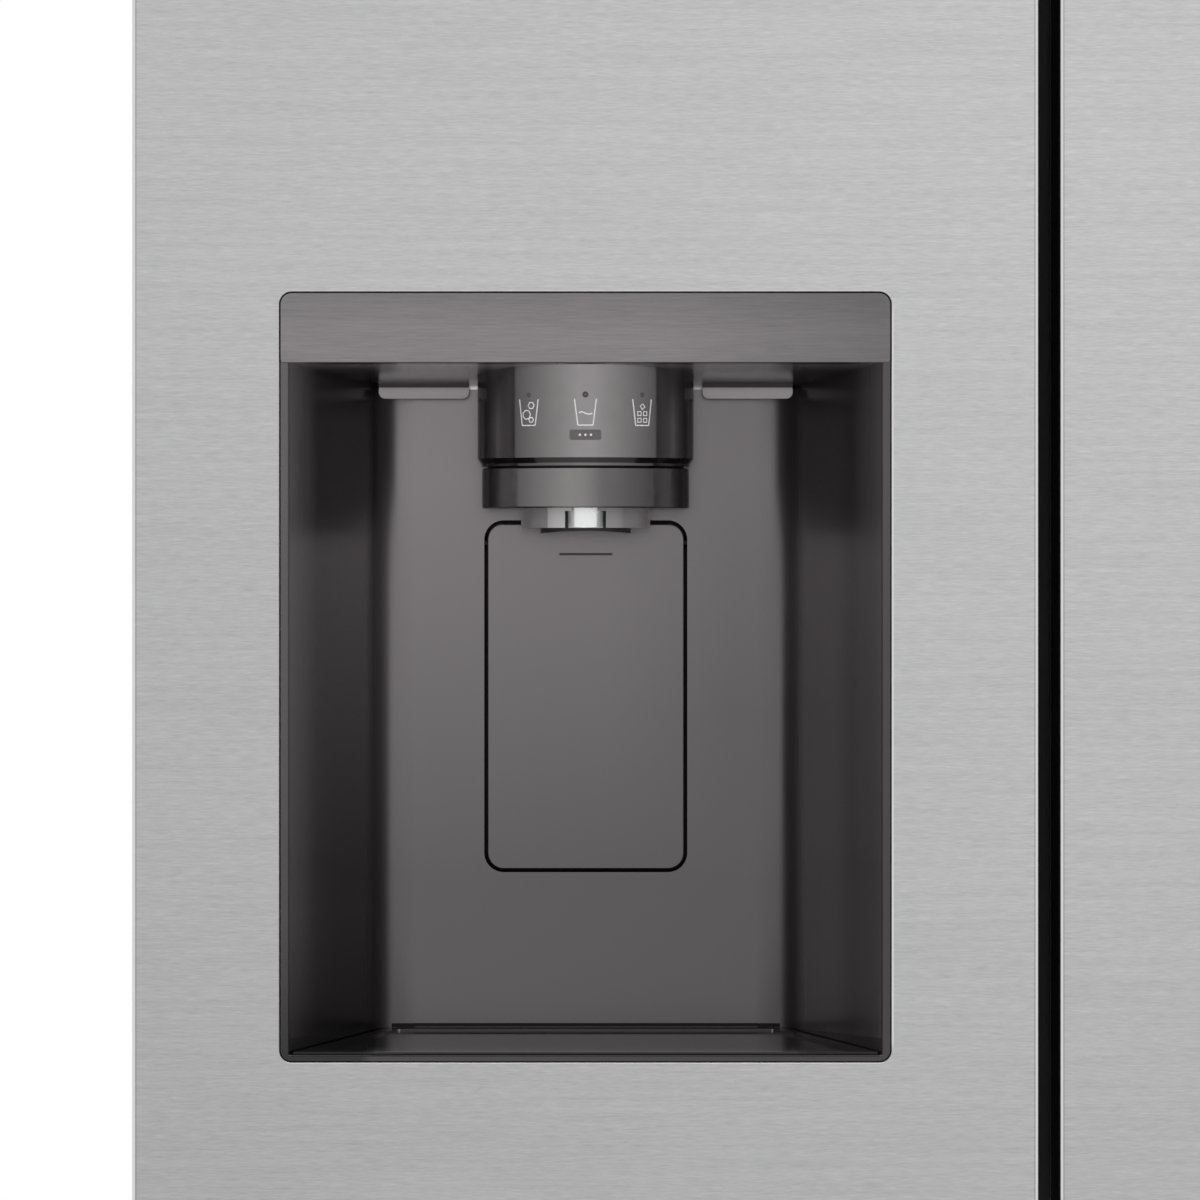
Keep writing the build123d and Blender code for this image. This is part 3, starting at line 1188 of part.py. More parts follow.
def dispenser_head_ring():
    """The lower ring, plugged into the drum, pierced for the nozzle and the ice chute."""
    plug = HEAD_RADIUS - HEAD_WALL - PLUG_FIT
    bore = plug - RING_FLOOR
    ring = turned(
        DISPENSER_X,
        HEAD_Y,
        (0, RING_BOTTOM),
        (RING_RADIUS - RING_EDGE, RING_BOTTOM),
        (RING_RADIUS, RING_BOTTOM + RING_EDGE),
        (RING_RADIUS, RING_TOP - RING_EDGE),
        (RING_RADIUS - RING_EDGE, RING_TOP),
        (NECK_RADIUS, RING_TOP),
        (NECK_RADIUS, HEAD_BOTTOM),
        (plug, HEAD_BOTTOM),
        (plug, HEAD_BOTTOM + RING_PLUG),
        (bore, HEAD_BOTTOM + RING_PLUG),
        (bore, RING_BOTTOM + RING_FLOOR),
        (0, RING_BOTTOM + RING_FLOOR),
    ) - behind_recess()
    floor = (RING_BOTTOM, RING_BOTTOM + RING_FLOOR)
    ring -= rod_z(CHUTE_OUTLET_RADIUS + CHUTE_FIT, DISPENSER_X, CHUTE_Y, floor)
    return ring - rod_z(NOZZLE_RADIUS + PLUG_FIT, DISPENSER_X, FRONT_Y + NOZZLE_DEPTH, floor)


def nozzle_deflector():
    """The half round guard in front of the ice outlet, notched for the nozzle."""
    z = (RING_BOTTOM - DEFLECTOR_DROP, RING_BOTTOM)
    roof = (RING_BOTTOM - DEFLECTOR_WALL / 2, RING_BOTTOM)
    guard = rod_z(DEFLECTOR_RADIUS, DISPENSER_X, HEAD_Y, z)
    guard -= rod_z(DEFLECTOR_RADIUS - DEFLECTOR_WALL, DISPENSER_X, HEAD_Y, (z[0], roof[0]))
    reach = (DISPENSER_X - HEAD_RADIUS, DISPENSER_X + HEAD_RADIUS)
    guard &= block(reach, (FRONT_Y, HEAD_Y + DEFLECTOR_WALL), z)
    half = NOZZLE_RADIUS + NOZZLE_NOTCH
    guard -= block((DISPENSER_X - half, DISPENSER_X + half), (FRONT_Y, HEAD_Y), (z[0], roof[0]))
    guard -= rod_z(CHUTE_OUTLET_RADIUS + CHUTE_FIT, DISPENSER_X, CHUTE_Y, roof)
    return guard - rod_z(NOZZLE_RADIUS + PLUG_FIT, DISPENSER_X, FRONT_Y + NOZZLE_DEPTH, roof)


def water_nozzle():
    y = FRONT_Y + NOZZLE_DEPTH
    z = (RING_BOTTOM - DEFLECTOR_DROP, RING_BOTTOM + NOZZLE_RISE)
    tube = rod_z(NOZZLE_RADIUS, DISPENSER_X, y, z)
    tube = fillet(tube.edges().group_by(Axis.Z)[0], NOZZLE_FIT)
    return tube - rod_z(NOZZLE_BORE, DISPENSER_X, y, (z[0], z[1] - NOZZLE_BORE))


def chute_pivot():
    return (CHUTE_Y + FLAP_PIVOT_OFFSET, CHUTE_TOP + FLAP_SEAT + FLAP_THICKNESS)


def ice_chute():
    """The funnel from the ice bin to the outlet, with the ears and pin of its flap."""
    outlet = RING_BOTTOM - CHUTE_DROP
    bore = CHUTE_OUTLET_RADIUS - CHUTE_WALL
    lip = CHUTE_TOP - CHUTE_LIP
    chute = turned(
        DISPENSER_X,
        CHUTE_Y,
        (bore, outlet),
        (CHUTE_OUTLET_RADIUS, outlet),
        (CHUTE_OUTLET_RADIUS, HEAD_BOTTOM),
        (CHUTE_MOUTH_BORE + CHUTE_WALL, lip - CHUTE_LIP),
        (CHUTE_MOUTH_RADIUS, lip),
        (CHUTE_MOUTH_RADIUS, CHUTE_TOP),
        (CHUTE_MOUTH_BORE, CHUTE_TOP),
        (CHUTE_MOUTH_BORE, lip - CHUTE_LIP),
        (bore, HEAD_BOTTOM),
    )
    reach = (FRONT_Y, CHUTE_Y + CHUTE_MOUTH_RADIUS)
    chute -= rod_y(CHUTE_ARCH_RADIUS, DISPENSER_X, reach, outlet + CHUTE_ARCH_RISE - CHUTE_ARCH_RADIUS)
    y, z = chute_pivot()
    for way in (-1, 1):
        inner = DISPENSER_X + way * FLAP_EAR_INNER
        x = sorted((inner, inner + way * FLAP_EAR))
        ear = block(x, (CHUTE_Y + FLAP_EAR_ROOT, y), (DISPENSER_TOP, CHUTE_TOP))
        ear += block(x, (y - FLAP_KNUCKLE, y + FLAP_KNUCKLE), (DISPENSER_TOP, z))
        chute += ear + rod_x(FLAP_KNUCKLE, x, y, z)
    far = FLAP_EAR_INNER + FLAP_EAR
    return chute + rod_x(FLAP_PIN, (DISPENSER_X - far, DISPENSER_X + far), y, z)


def ice_chute_flap():
    """The round door over the chute, on a knuckle behind it."""
    y, z = chute_pivot()
    plate_z = (CHUTE_TOP + FLAP_SEAT, CHUTE_TOP + FLAP_SEAT + FLAP_THICKNESS)
    flap = rod_z(FLAP_RADIUS, DISPENSER_X, CHUTE_Y, plate_z)
    half = FLAP_EAR_INNER - FLAP_EAR_GAP
    x = (DISPENSER_X - half, DISPENSER_X + half)
    tongue = block((DISPENSER_X - half, DISPENSER_X + half), (CHUTE_Y, y), plate_z)
    flap += tongue + rod_x(FLAP_KNUCKLE, x, y, z)
    return flap - rod_x(FLAP_PIN + RUNNING_FIT, x, y, z)


def dispenser_paddle():
    """The push plate in the back of the recess, hung on two knuckles."""
    y = (RECESS_BACK_Y, RECESS_BACK_Y + PADDLE_THICKNESS)
    face = RectangleRounded(PADDLE_WIDTH, PADDLE_HEIGHT, PADDLE_CORNER)
    plate = backward(face, DISPENSER_X, PADDLE_MID_Z, y)
    plate = fillet(plate.edges().group_by(Axis.Y)[0], PADDLE_EDGE)
    width, height, depth = PADDLE_MARK
    mark_z = PADDLE_TOP - PADDLE_MARK_DROP
    half = width / 2
    plate -= block(
        (DISPENSER_X - half, DISPENSER_X + half),
        (y[0], y[0] + depth),
        (mark_z - height / 2, mark_z + height / 2),
    )
    for way in (-1, 1):
        centre = DISPENSER_X + way * PADDLE_KNUCKLE_SPREAD
        x = (centre - PADDLE_KNUCKLE_LENGTH / 2, centre + PADDLE_KNUCKLE_LENGTH / 2)
        z = (PADDLE_PIVOT_Z - PADDLE_KNUCKLE, PADDLE_PIVOT_Z + PADDLE_KNUCKLE)
        plate += block(x, (middle(y), PADDLE_PIVOT_Y), z)
        plate += rod_x(PADDLE_KNUCKLE, x, PADDLE_PIVOT_Y, PADDLE_PIVOT_Z)
        plate -= rod_x(PADDLE_PIN + RUNNING_FIT, x, PADDLE_PIVOT_Y, PADDLE_PIVOT_Z)
    return plate


def dispenser_lamp(way):
    width, depth, height = LAMP_TAB
    near = DISPENSER_X + way * LAMP_TAB_INNER
    x = sorted((near, near + way * width))
    y = (FRONT_Y + LAMP_TAB_DEPTH, FRONT_Y + LAMP_TAB_DEPTH + depth)
    tab = block(x, y, (DISPENSER_CEILING - CEILING_FALL - height, DISPENSER_CEILING))
    tab = fillet(tab.edges().filter_by(Axis.Y).group_by(Axis.Z)[0], LAMP_TAB_ROUND)
    slot_depth, slot_height = LAMP_TAB_SLOT
    slot_z = (DISPENSER_CEILING - CEILING_FALL - slot_height, DISPENSER_CEILING)
    return tab & recess_hollow() - block(x, (y[0], y[0] + slot_depth), slot_z)


def drip_tray():
    """The loose tray on the floor of the recess: a wedge that falls to the front, with a shallow basin."""
    plan = offset(recess_plan(0), -TRAY_GAP, kind=Kind.INTERSECTION)
    y = (FRONT_Y + RIM_SETBACK + TRAY_GAP, RECESS_BACK_Y - TRAY_GAP)
    front_z = RECESS_FLOOR + TRAY_FRONT
    back_z = RECESS_FLOOR + TRAY_BACK
    wedge = outline((y[0], RECESS_FLOOR), (y[0], front_z), (y[1], back_z), (y[1], RECESS_FLOOR))
    width = (DISPENSER_X - DISPENSER_WIDTH / 2, DISPENSER_X + DISPENSER_WIDTH / 2)
    tray = rise(plan, (RECESS_FLOOR, back_z)) & sideways(wedge, width)
    basin_plan = offset(recess_plan(0), -TRAY_GAP - TRAY_RIM, kind=Kind.INTERSECTION)
    above = outline(
        (y[0], front_z - TRAY_BASIN), (y[0], back_z), (y[1], back_z), (y[1], back_z - TRAY_BASIN)
    )
    return tray - (rise(basin_plan, (RECESS_FLOOR, back_z)) & sideways(above, width))


def throat():
    """The way for ice through the door, from the bin to the chute."""
    half = THROAT_WIDTH / 2
    return block(
        (DISPENSER_X - half, DISPENSER_X + half),
        (FRONT_Y + THROAT_FRONT, FRONT_Y + THROAT_BACK),
        (DISPENSER_TOP - DISPENSER_FIT, BULGE_TOP),
    )


def freezer_door_core():
    core = door_core(FREEZER_DOOR) - dispenser_envelope() - throat()
    return core - dispenser_prism(SHEET, (0, DISPENSER_EDGE_DEPTH))


def freezer_door_liner():
    """The freezer door's inner panel, bulged behind the dispenser."""
    x = FREEZER_DOOR.between_dykes(LINER_BULGE_SIDE)
    y = (SKIN_BACK_Y, FRONT_Y + LINER_BULGE_DEPTH)
    bulge = block(x, y, (BULGE_BOTTOM, BULGE_TOP))
    bulge = fillet(rear_uprights(bulge), BIN_CORNER)
    panel = door_liner(FREEZER_DOOR) + bulge
    return panel - dispenser_envelope() - throat()


# Ice maker
def ice_bin():
    """The ice bucket on top of the dispenser bulge, with its outlet and auger bearings."""
    x = FREEZER_DOOR.between_dykes(BIN_FIT)
    y = (DOOR_BACK_Y, DOOR_BACK_Y + ICE_BIN_DEPTH)
    z = (BULGE_TOP, BULGE_TOP + ICE_BIN_HEIGHT)
    tub = fillet(rear_uprights(block(x, y, z)), BIN_CORNER)
    hollow = block(inset(x, BIN_WALL), inset(y, BIN_WALL), (z[0] + BIN_WALL, z[1]))
    tub -= fillet(rear_uprights(hollow), BIN_CORNER - BIN_WALL)
    tub -= rod_z(ICE_OUTLET_RADIUS, DISPENSER_X, FRONT_Y + ICE_OUTLET_DEPTH, (z[0], z[0] + BIN_WALL))
    return tub - rod_x(AUGER_SHAFT + RUNNING_FIT, x, AUGER_Y, AUGER_Z)


def ice_auger():
    """A shaft with blades set round it in steps, which pushes the ice to the outlet."""
    x = FREEZER_DOOR.between_dykes(BIN_FIT + AUGER_END_GAP)
    hub_x = inset(x, BIN_WALL + AUGER_WALL_GAP)
    auger = rod_x(AUGER_SHAFT, x, AUGER_Y, AUGER_Z) + rod_x(AUGER_HUB, hub_x, AUGER_Y, AUGER_Z)
    pitch = (hub_x[1] - hub_x[0]) / AUGER_BLADES
    for number in range(AUGER_BLADES):
        blade = Rectangle(2 * AUGER_RADIUS, 2 * AUGER_HUB) & Circle(AUGER_RADIUS)
        start = hub_x[0] + pitch * (number + 0.5) - AUGER_BLADE_THICKNESS / 2
        turned_blade = Pos(AUGER_Y, AUGER_Z) * Rot(0, 0, 180 / AUGER_BLADES * number) * blade
        auger += sideways(turned_blade, (start, start + AUGER_BLADE_THICKNESS))
    return auger


def ice_maker():
    """The mould tray with its row of cups, and the gearbox at its end."""
    x = FREEZER_DOOR.between_dykes(BIN_FIT)
    y = (DOOR_BACK_Y, DOOR_BACK_Y + ICE_MAKER_DEPTH)
    base = BULGE_TOP + ICE_BIN_HEIGHT + ICE_MAKER_GAP
    z = (base, base + ICE_MAKER_HEIGHT)
    maker = fillet(rear_uprights(block(x, y, z)), BIN_CORNER)
    cups_x = (x[0] + ICE_GEARBOX, x[1] - ICE_MOULD_WALL)
    pitch = (cups_x[1] - cups_x[0]) / ICE_MOULDS
    for number in range(ICE_MOULDS):
        start = cups_x[0] + pitch * number
        cup = rod_x(ICE_MOULD_RADIUS, (start, start + pitch - ICE_MOULD_WALL), middle(y), z[1])
        maker -= cup
    return maker


PARTS = {
    "left_side_panel": side_panel(CASE_X[0], 1),
    "right_side_panel": side_panel(CASE_X[1], -1),
    "top_panel": top_panel(),
    "back_panel": back_panel(),
    "cabinet_foam": cabinet_foam(),
    "freezer_liner": liner(FREEZER_X, ledge_list(COVER_Y)),
    "fridge_liner": liner(FRIDGE_X, ledge_list(REAR_Y)),
    "centre_rail": centre_rail(),
    "base_frame": base_frame(),
    "kick_grille": kick_grille(),
    "levelling_feet": [levelling_foot(-1), levelling_foot(1)],
    "rear_roller_left": rear_roller(-1),
    "rear_roller_right": rear_roller(1),
    "compressor": compressor(),
    "condenser_coil": condenser_coil(),
    "condenser_fan_frame": condenser_fan_frame(),
    "condenser_fan": condenser_fan(),
    "drain_pan": drain_pan(),
    "water_valve": water_valve(),
    "machine_cover": machine_cover(),
    "evaporator_cover": evaporator_cover(),
    "evaporator_coil": evaporator_coil(),
    "evaporator_fan": evaporator_fan(),
    "freezer_shelves": [freezer_shelf(level) for level in shelf_levels()],
    "freezer_drawers": drawers(FREEZER_X),
    "fridge_shelf_frames": [shelf_frame(level) for level in shelf_levels()],
    "fridge_shelves": [shelf_glass(level) for level in shelf_levels()],
    "crisper_drawers": drawers(FRIDGE_X),
    "interior_lamps": [interior_lamp(FREEZER_X), interior_lamp(FRIDGE_X)],
    "top_hinges": [top_hinge(FREEZER_DOOR), top_hinge(FRIDGE_DOOR)],
    "hinge_covers": [hinge_cover(FREEZER_DOOR), hinge_cover(FRIDGE_DOOR)],
    "bottom_hinges": [bottom_hinge(FREEZER_DOOR), bottom_hinge(FRIDGE_DOOR)],
    "freezer_door_skin": freezer_door_skin(),
    "freezer_door_foam": freezer_door_core(),
    "freezer_door_liner": freezer_door_liner(),
    "freezer_door_caps": door_caps(FREEZER_DOOR),
    "freezer_door_gasket": door_gasket(FREEZER_DOOR),
    "freezer_door_grip": door_grip(FREEZER_DOOR),
    "freezer_door_bins": bin_rack(FREEZER_DOOR, FREEZER_BIN_DEPTH, FREEZER_BIN_PITCH, BULGE_BOTTOM),
    "dispenser_housing": dispenser_housing(),
    "dispenser_fascia": dispenser_fascia(),
    "dispenser_head": dispenser_head(),
    "dispenser_head_ring": dispenser_head_ring(),
    "nozzle_deflector": nozzle_deflector(),
    "water_nozzle": water_nozzle(),
    "ice_chute": ice_chute(),
    "ice_chute_flap": ice_chute_flap(),
    "dispenser_paddle": dispenser_paddle(),
    "dispenser_lamps": [dispenser_lamp(-1), dispenser_lamp(1)],
    "drip_tray": drip_tray(),
    "ice_bin": ice_bin(),
    "ice_auger": ice_auger(),
    "ice_maker": ice_maker(),
    "fridge_door_skin": door_skin(FRIDGE_DOOR),
    "fridge_door_foam": door_core(FRIDGE_DOOR),
    "fridge_door_liner": door_liner(FRIDGE_DOOR),
    "fridge_door_caps": door_caps(FRIDGE_DOOR),
    "fridge_door_gasket": door_gasket(FRIDGE_DOOR),
    "fridge_door_grip": door_grip(FRIDGE_DOOR),
    "fridge_door_bins": bin_rack(FRIDGE_DOOR, FRIDGE_BIN_DEPTH, FRIDGE_BIN_PITCH, DYKE_TOP),
}

os.makedirs("parts", exist_ok=True)
for name, shape in PARTS.items():
    solids = shape if isinstance(shape, list) else [shape]
    pieces = [solid for piece in solids for solid in piece.solids()]
    export_step(Compound(children=pieces) if len(pieces) > 1 else pieces[0], f"parts/{name}.step")
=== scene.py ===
import json
import math

import bmesh
import bpy
from mathutils import Matrix, Vector


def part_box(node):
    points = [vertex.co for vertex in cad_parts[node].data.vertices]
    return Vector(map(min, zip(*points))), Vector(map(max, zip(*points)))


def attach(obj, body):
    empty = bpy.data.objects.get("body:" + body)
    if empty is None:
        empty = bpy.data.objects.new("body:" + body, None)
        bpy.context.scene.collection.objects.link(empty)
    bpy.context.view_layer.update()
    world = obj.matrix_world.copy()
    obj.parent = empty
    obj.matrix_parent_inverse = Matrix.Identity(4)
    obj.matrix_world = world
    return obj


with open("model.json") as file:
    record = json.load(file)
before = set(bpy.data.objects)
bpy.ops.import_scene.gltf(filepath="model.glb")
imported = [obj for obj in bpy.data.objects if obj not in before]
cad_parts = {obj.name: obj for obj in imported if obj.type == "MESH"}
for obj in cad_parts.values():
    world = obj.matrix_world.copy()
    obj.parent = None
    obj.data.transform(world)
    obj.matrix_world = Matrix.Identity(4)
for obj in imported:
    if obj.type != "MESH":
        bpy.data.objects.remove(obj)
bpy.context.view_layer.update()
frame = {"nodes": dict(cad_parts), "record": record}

MM = 0.001
nodes = frame["nodes"]

# Places on the appliance, in metres
DOOR_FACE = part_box("freezer_door_skin")[0][1]
FREEZER_LOW, FREEZER_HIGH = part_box("freezer_door_skin")
FRIDGE_LOW, FRIDGE_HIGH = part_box("fridge_door_skin")
DOOR_GAP = (FREEZER_HIGH[0], FRIDGE_LOW[0])
HOUSING_LOW, HOUSING_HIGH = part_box("dispenser_housing")
HOUSING_FOOT = HOUSING_LOW[2]
HOUSING_HEAD = HOUSING_HIGH[2]
DRUM_LOW, DRUM_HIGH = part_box("dispenser_head")
DRUM_FOOT = DRUM_LOW[2]
DRUM_X = (DRUM_LOW[0] + DRUM_HIGH[0]) / 2
DRUM_RADIUS = (DRUM_HIGH[0] - DRUM_LOW[0]) / 2
DRUM_Y = DRUM_LOW[1] + DRUM_RADIUS
RECESS_HALF = 91.5 * MM
COVER_LOW, COVER_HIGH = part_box("machine_cover")

# Camera, as the photograph was taken
CAMERA_X = -0.2521
CAMERA_Z = 1.1993
CAMERA_DISTANCE = 3.500
SENSOR = 36.0
LENS = 243.38

# Light and floor
SKY_ROUND = 0.27
SKY_FRONT = 0.73
SKY_FRONT_FOCUS = 3.0
SKY_BACK = 0.80
SKY_ABOVE = 0.35
SKY_ABOVE_FOCUS = 2.0
TOP_PLACE = (0, 0.8, 5.0)
TOP_TARGET = (0, 0.3, 0)
TOP_SIZE = (4.5, 4.5)
TOP_POWER = 150.0
FLOOR_HALF = 6.0
FLOOR_GLOW = 0.30
FLOOR_FADE = (2.2, 5.5)


def tone(colour, factor):
    return tuple(channel * factor for channel in colour)


def grey(level):
    return (level, level, level)


def even(scale):
    """The same scale along every axis."""
    return (scale, scale, scale)


class Nodes:
    """The shader nodes of one tree."""

    def __init__(self, tree):
        self.tree = tree

    def node(self, kind, **settings):
        made = self.tree.nodes.new("ShaderNode" + kind)
        for setting, value in settings.items():
            setattr(made, setting, value)
        return made

    def join(self, output, socket):
        self.tree.links.new(output, socket)

    def math(self, operation, first, second):
        """One operation on two values, each a number or an output."""
        made = self.node("Math", operation=operation)
        for socket, value in zip(made.inputs, (first, second)):
            if isinstance(value, (int, float)):
                socket.default_value = value
            else:
                self.join(value, socket)
        return made.outputs["Value"]


class Finish(Nodes):
    """A procedural material: textures on object coordinates that drive one shader."""

    def __init__(self, name, **sockets):
        self.material = bpy.data.materials.new(name)
        self.material.use_nodes = True
        super().__init__(self.material.node_tree)
        self.shader = self.tree.nodes["Principled BSDF"]
        self.place = self.node("TexCoord").outputs["Object"]
        for socket, value in sockets.items():
            self.shader.inputs[socket.replace("_", " ")].default_value = value

    # Textures
    def stretched(self, scale):
        """Object coordinates scaled by axis, in features for each metre."""
        mapping = self.node("Mapping")
        mapping.inputs["Scale"].default_value = scale
        self.join(self.place, mapping.inputs["Vector"])
        return mapping.outputs["Vector"]

    def noise(self, scale, detail=2.0, rough=0.5):
        texture = self.node("TexNoise")
        texture.inputs["Scale"].default_value = 1.0
        texture.inputs["Detail"].default_value = detail
        texture.inputs["Roughness"].default_value = rough
        self.join(self.stretched(scale), texture.inputs["Vector"])
        return texture.outputs["Fac"]

    def cells(self, scale):
        texture = self.node("TexVoronoi")
        texture.inputs["Scale"].default_value = 1.0
        self.join(self.stretched(scale), texture.inputs["Vector"])
        return texture

    def blend(self, first, second, share):
        """Two textures mixed, the first by its share."""
        part = self.math("MULTIPLY", first, share)
        return self.math("ADD", part, self.math("MULTIPLY", second, 1 - share))

    # Masks
    def axes(self):
        made = self.node("SeparateXYZ")
        self.join(self.place, made.inputs["Vector"])
        return made.outputs["X"], made.outputs["Y"], made.outputs["Z"]

    def between(self, factor, low, high, start=0.3, stop=0.7):
        """A factor carried from its own range to another."""
        made = self.node("MapRange")
        self.join(factor, made.inputs["Value"])
        made.inputs["From Min"].default_value = start
        made.inputs["From Max"].default_value = stop
        made.inputs["To Min"].default_value = low
        made.inputs["To Max"].default_value = high
        return made.outputs["Result"]

    def rise(self, value, start, stop):
        """A mask that goes from zero to one between two places."""
        return self.between(value, 0.0, 1.0, start, stop)

    def drop(self, value, start, stop):
        """A mask that goes from one to zero between two places."""
        return self.between(value, 1.0, 0.0, start, stop)

    def apart(self, value, level):
        """How far a value is from a level."""
        return self.math("ABSOLUTE", self.math("SUBTRACT", value, level), 0.0)

    def over(self, value, limit):
        return self.math("GREATER_THAN", value, limit)

    def under(self, value, limit):
        return self.math("LESS_THAN", value, limit)

    def band(self, value, low, high):
        """One where a value lies between two limits, else zero."""
        above = self.over(value, low)
        return self.math("MULTIPLY", above, self.under(value, high))

    def both(self, first, *others):
        """The product of masks."""
        for mask in others:
            first = self.math("MULTIPLY", first, mask)
        return first

    def opposite(self, mask):
        return self.math("SUBTRACT", 1.0, mask)

    # Colour, roughness and relief
    def source(self, socket):
        """What drives a socket of the shader so far."""
        return self.shader.inputs[socket].links[0].from_socket

    def shade(self, factor, dark, light):
        """The colour that goes from dark to light with a factor of 0 to 1."""
        made = self.node("Mix", data_type="RGBA")
        for socket, colour in zip(made.inputs[6:8], (dark, light)):
            if isinstance(colour, tuple):
                socket.default_value = (*colour, 1.0)
            else:
                self.join(colour, socket)
        self.join(factor, made.inputs[0])
        return made.outputs[2]

    def colour(self, output):
        self.join(output, self.shader.inputs["Base Color"])

    def tinted(self, factor, colour, dark, light):
        """Two tones of one colour, mixed by a factor of 0 to 1."""
        self.colour(self.shade(factor, tone(colour, dark), tone(colour, light)))

    def dim(self, factor):
        """Multiply the colour so far by a factor."""
        made = self.node("Mix", data_type="RGBA", blend_type="MULTIPLY")
        made.inputs[0].default_value = 1.0
        self.join(self.source("Base Color"), made.inputs[6])
        self.join(factor, made.inputs[7])
        self.colour(made.outputs[2])

    def where(self, mask, level):
        """Multiply the colour by a level where a mask is one."""
        change = self.math("SUBTRACT", level, 1.0)
        self.dim(self.math("ADD", 1.0, self.math("MULTIPLY", mask, change)))

    def falls(self, value, rows):
        """Change the tone along a value: first and last level, first and last place."""
        for row in rows:
            self.dim(self.between(value, *row))

    def metal(self, output):
        self.join(output, self.shader.inputs["Metallic"])

    def gloss(self, output):
        self.join(output, self.shader.inputs["Roughness"])

    def gloss_about(self, texture, rough, spread):
        """Roughness that a texture carries a little below and above a value."""
        self.gloss(self.between(texture, rough - spread, rough + spread))

    def relief(self, height, depth, strength=1.0):
        bump = self.node("Bump")
        bump.inputs["Distance"].default_value = depth
        bump.inputs["Strength"].default_value = strength
        self.join(height, bump.inputs["Height"])
        self.join(bump.outputs["Normal"], self.shader.inputs["Normal"])


# Kinds of surface
def brushed(name, colour, spread, rough, fine, broad):
    """Metal brushed along X: fine streaks over broad ones."""
    finish = Finish(name, Metallic=1.0)
    streak = finish.noise(fine, detail=3.0, rough=0.7)
    stripe = finish.noise(broad, detail=2.0)
    mixed = finish.blend(streak, stripe, share=0.75)
    grain = finish.between(mixed, 0.0, 1.0)
    finish.tinted(grain, colour, dark=1 - spread, light=1 + spread)
    finish.gloss_about(mixed, rough, spread=0.05)
    finish.relief(mixed, depth=0.02 * MM, strength=0.6)
    return finish


def grained(name, colour, spread, rough, grain, depth, **sockets):
    """Moulded or painted surface with a fine even grain and a slow drift of tone."""
    finish = Finish(name, **sockets)
    drift = finish.noise(even(7.0), detail=3.0)
    speckle = finish.noise(even(grain), detail=2.0, rough=0.6)
    mixed = finish.blend(drift, speckle, share=0.55)
    factor = finish.between(mixed, 0.0, 1.0)
    finish.tinted(factor, colour, dark=1 - spread, light=1 + spread)
    finish.gloss_about(drift, rough, spread=0.04)
    finish.relief(speckle, depth)
    return finish


def polished(name, colour, rough, metal, **sockets):
    """Polished plating with the faintest waviness."""
    finish = Finish(name, Metallic=metal, **sockets)
    wave = finish.noise(even(160.0), detail=2.0)
    factor = finish.between(wave, 0.0, 1.0)
    finish.tinted(factor, colour, dark=0.97, light=1.02)
    finish.gloss(finish.between(wave, low=rough * 0.7, high=rough * 1.3))
    return finish


def spangled(name, colour, rough):
    """Zinc plated sheet with its faint crystal pattern."""
    finish = Finish(name, Metallic=1.0)
    crystal = finish.node("RGBToBW")
    finish.join(finish.cells(even(150.0)).outputs["Color"], crystal.inputs["Color"])
    scuff = finish.noise((420.0, 420.0, 60.0), detail=3.0)
    mixed = finish.blend(crystal.outputs["Val"], scuff, share=0.6)
    factor = finish.between(mixed, 0.0, 1.0)
    finish.tinted(factor, colour, dark=0.94, light=1.05)
    finish.gloss_about(crystal.outputs["Val"], rough, spread=0.05)
    finish.relief(scuff, depth=0.01 * MM)
    return finish


def porous(name, colour):
    """Rigid foam with its cells and skin."""
    finish = Finish(name, Roughness=0.9)
    pores = finish.cells(even(260.0)).outputs["Distance"]
    drift = finish.noise(even(12.0), detail=4.0)
    factor = finish.rise(finish.math("MULTIPLY", pores, drift), 0.0, 0.5)
    skin = tone(colour, 1.05)
    pit = tone(colour, 0.80)
    finish.colour(finish.shade(factor, skin, pit))
    finish.relief(pores, depth=0.8 * MM)
    return finish


def clear(name, colour, rough, wiped):
    """Clear moulded plastic or glass, a little clouded by fine wipe marks."""
    finish = Finish(name, Transmission_Weight=1.0, IOR=1.46)
    wipe = finish.noise((30.0, 90.0, 30.0), detail=4.0)
    finish.tinted(finish.between(wipe, 0.0, 1.0), colour, dark=wiped, light=1.0)
    finish.gloss(finish.between(wipe, low=rough * 0.6, high=rough * 1.4))
    return finish


def frosted(name, colour, rough):
    """Milky plastic of lamp covers, finely pebbled."""
    finish = Finish(name, Subsurface_Weight=0.2, Subsurface_Scale=2 * MM)
    pebbles = finish.noise(even(900.0), detail=1.0)
    factor = finish.between(pebbles, 0.0, 1.0)
    finish.tinted(factor, colour, dark=0.94, light=1.04)
    finish.gloss_about(pebbles, rough, spread=0.08)
    finish.relief(pebbles, depth=0.03 * MM)
    return finish


# The doors
STEEL_COLOUR = (0.545, 0.545, 0.547)
# Painted shade: the steel falls in tone to the left and downwards
STEEL_SHADE_ACROSS = ((0.90, 1.0, FREEZER_LOW[0], FREEZER_HIGH[0]),)
STEEL_SHADE_DOWN = (
    (0.90, 1.0, HOUSING_FOOT + 140 * MM, HOUSING_HEAD + 60 * MM),
    (0.91, 1.0, HOUSING_FOOT - 30 * MM, HOUSING_FOOT + 110 * MM),
)
# Painted highlights on the folded hems and the rolled edge, and a painted shade line beside the hems
HEM_HIGHLIGHT_COLOUR = grey(0.66)
HEM_START = 0.1 * MM
HEM_STOP = 1.35 * MM
HEM_LINE_STOP = 1.95 * MM
HEM_SHADE_LINE_LEVEL = 0.74
ROLLED_WIDTH = 1.5 * MM
ROLLED_START = 4 * MM
ROLLED_FULL = 9 * MM
FLANK_START = 1.2 * MM
# The flanks' near-black is a black edge and also painted shade in the gap between the doors
FLANK_BLACK_AND_GAP_SHADE = grey(0.006)


